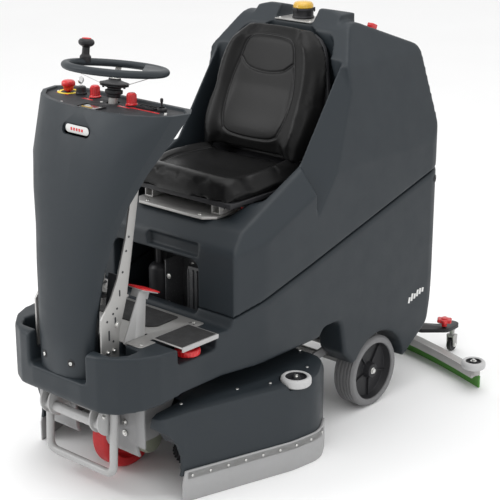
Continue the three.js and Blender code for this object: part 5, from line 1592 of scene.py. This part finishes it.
blade = along_blade("blade_back", -9.2, -5.4, HALF, 0.5, 60, 0.5, "squeegee", GREEN_RUBBER)
stand_in(blade, "squeegee_blade")
along_blade("blade_front", -5.2, 0, HALF, 0.5, 43, 0.8, "squeegee", GREEN_RUBBER)
along_blade("blade_strap", -5.2, -3.4, HALF - 10, 45, 61, 0.3, "squeegee", STEEL)
edged("squeegee_head", "squeegee_beam", STEEL, 0.003, 3)
studs = bmesh.new()
for x in np.linspace(-480, 480, 13):
    slope = (squeegee_arc(x + 1) - squeegee_arc(x - 1)) / 2
    out = Vector((-slope, 1, 0)).normalized()
    hex_bolt(studs, mm(x, squeegee_arc(x, -3.4), 53), out, 8, 6)
piece("blade_studs", studs, "squeegee", BRIGHT, 30)
edged("squeegee_arm", "tow_arm", BLACK_PLASTIC, 0.003, 3)
for side, sign in SIDES:
    x, y = sign * 250, 530
    lobes = [
        (radius * math.cos(a), radius * math.sin(a))
        for a in np.linspace(0, 2 * math.pi, 73)[:-1]
        for radius in [25.5 + 3.5 * math.cos(6 * a)]
    ]
    knob = turned_shape(
        rounded([(5.5, 0.5), (10, 0.5), (10, 10), (16, 18), (5.5, 18)], 1.5), mm(x, y, 112), sides=40
    )
    cut_plate(lobes, 13, mm(x, y, 129), soft=3.5, shape=knob)
    turned_shape(
        rounded([(0, 0), (13, 0), (12, 4), (0, 5)], 1.2), mm(x, y, 141.5), sides=40, shape=knob
    )
    stand_in(
        piece(f"squeegee_knob_{side}_lobed", knob, f"squeegee_knob_{side}", RED),
        f"squeegee_knob_{side}"
    )
    edged(f"castor_fork_{side}", f"castor_fork_{side}_steel", STEEL, 0.0012)
    tread = [
        (4.2, 0), (4.2, -8.5), (11, -9), (17, -7), (22, -9), (25, -6), (25, 6), (22, 9), (17, 7),
        (11, 9), (4.2, 8.5), (4.2, 0)
    ]
    shape = turned_shape(rounded(tread, 1.5), mm(x, 585, 25), (1, 0, 0), 56)
    bmesh.ops.remove_doubles(shape, verts=shape.verts, dist=1e-6)
    stand_in(
        piece(f"castor_wheel_{side}_tyre", shape, f"castor_wheel_{side}", BLACK_PLASTIC),
        f"castor_wheel_{side}"
    )
    castor_bits = hex_bolt(bmesh.new(), mm(x + 15, 585, 25), (1, 0, 0), 8, 4)
    hex_bolt(castor_bits, mm(x - 15, 585, 25), (-1, 0, 0), 8, 4)
    piece(f"castor_bolts_{side}", castor_bits, f"castor_fork_{side}", BRIGHT, 30)
    bumper_wheel(f"side_roller_{side}", sign * 508, 330, 84, 42, 28, "squeegee")
print("squeegee done")

# %% [markdown]
# ## Floor, light and camera
#
# A pale plain floor, a broad light above, a soft key from the front left and a low fill.

# %% Floor, light and camera
def studio_floor():
    s = Shader("studio floor")
    shade = s.clouds(1.2, 3.0)
    s.set(
        Base_Color=s.mixed(shade, (0.90, 0.90, 0.90), (0.93, 0.93, 0.93)),
        Roughness=s.clouds(8.0).ramped(0.3, 0.7, 0.75, 0.9)
    )
    s.bumps((s.clouds(60.0, 3.0), 0.05, 0.0005))
    return s.material


ground = bmesh.new()
bmesh.ops.create_grid(ground, x_segments=2, y_segments=2, size=14)
mesh = bpy.data.meshes.new("floor")
ground.to_mesh(mesh)
ground.free()
floor = bpy.data.objects.new("floor", mesh)
bpy.context.scene.collection.objects.link(floor)
mesh.materials.append(studio_floor())


def area_light(name, place, target, size, power):
    data = bpy.data.lights.new(name, "AREA")
    data.shape = "DISK"
    data.size = size
    data.energy = power
    lamp = bpy.data.objects.new(name, data)
    lamp.location = place
    lamp.rotation_euler = (Vector(target) - Vector(place)).to_track_quat("-Z", "Y").to_euler()
    bpy.context.scene.collection.objects.link(lamp)


area_light("overhead", (0.3, -0.2, 4.2), (0, 0, 0.5), 3.6, 60)
area_light("key", (-2.6, -3.4, 3.2), (0, -0.2, 0.6), 2.6, 70)
area_light("fill", (4.2, -0.8, 1.6), (0, 0, 0.6), 2.4, 15)
world = bpy.data.worlds.new("studio")
bpy.context.scene.world = world
world.use_nodes = True
background = next(n for n in world.node_tree.nodes if n.type == "BACKGROUND")
background.inputs["Color"].default_value = (1.0, 1.0, 1.0, 1)
bpy.context.scene.view_settings.view_transform = "Standard"
background.inputs["Strength"].default_value = 1.0

camera_data = bpy.data.cameras.new("camera")
camera_data.lens = 104.4
camera_data.sensor_width = 36
camera_data.shift_x = 0.012
camera_data.shift_y = -0.002
camera_data.clip_end = 60
camera = bpy.data.objects.new("camera", camera_data)
camera.location = (3.002, -3.422, 2.087)
LOOK_DOWN = math.radians(18.6)
view = Vector((-0.664 * math.cos(LOOK_DOWN), 0.748 * math.cos(LOOK_DOWN), -math.sin(LOOK_DOWN)))
camera.rotation_euler = view.to_track_quat("-Z", "Y").to_euler()
bpy.context.scene.collection.objects.link(camera)
bpy.context.scene.camera = camera
print("stage done:", len(made), "pieces")
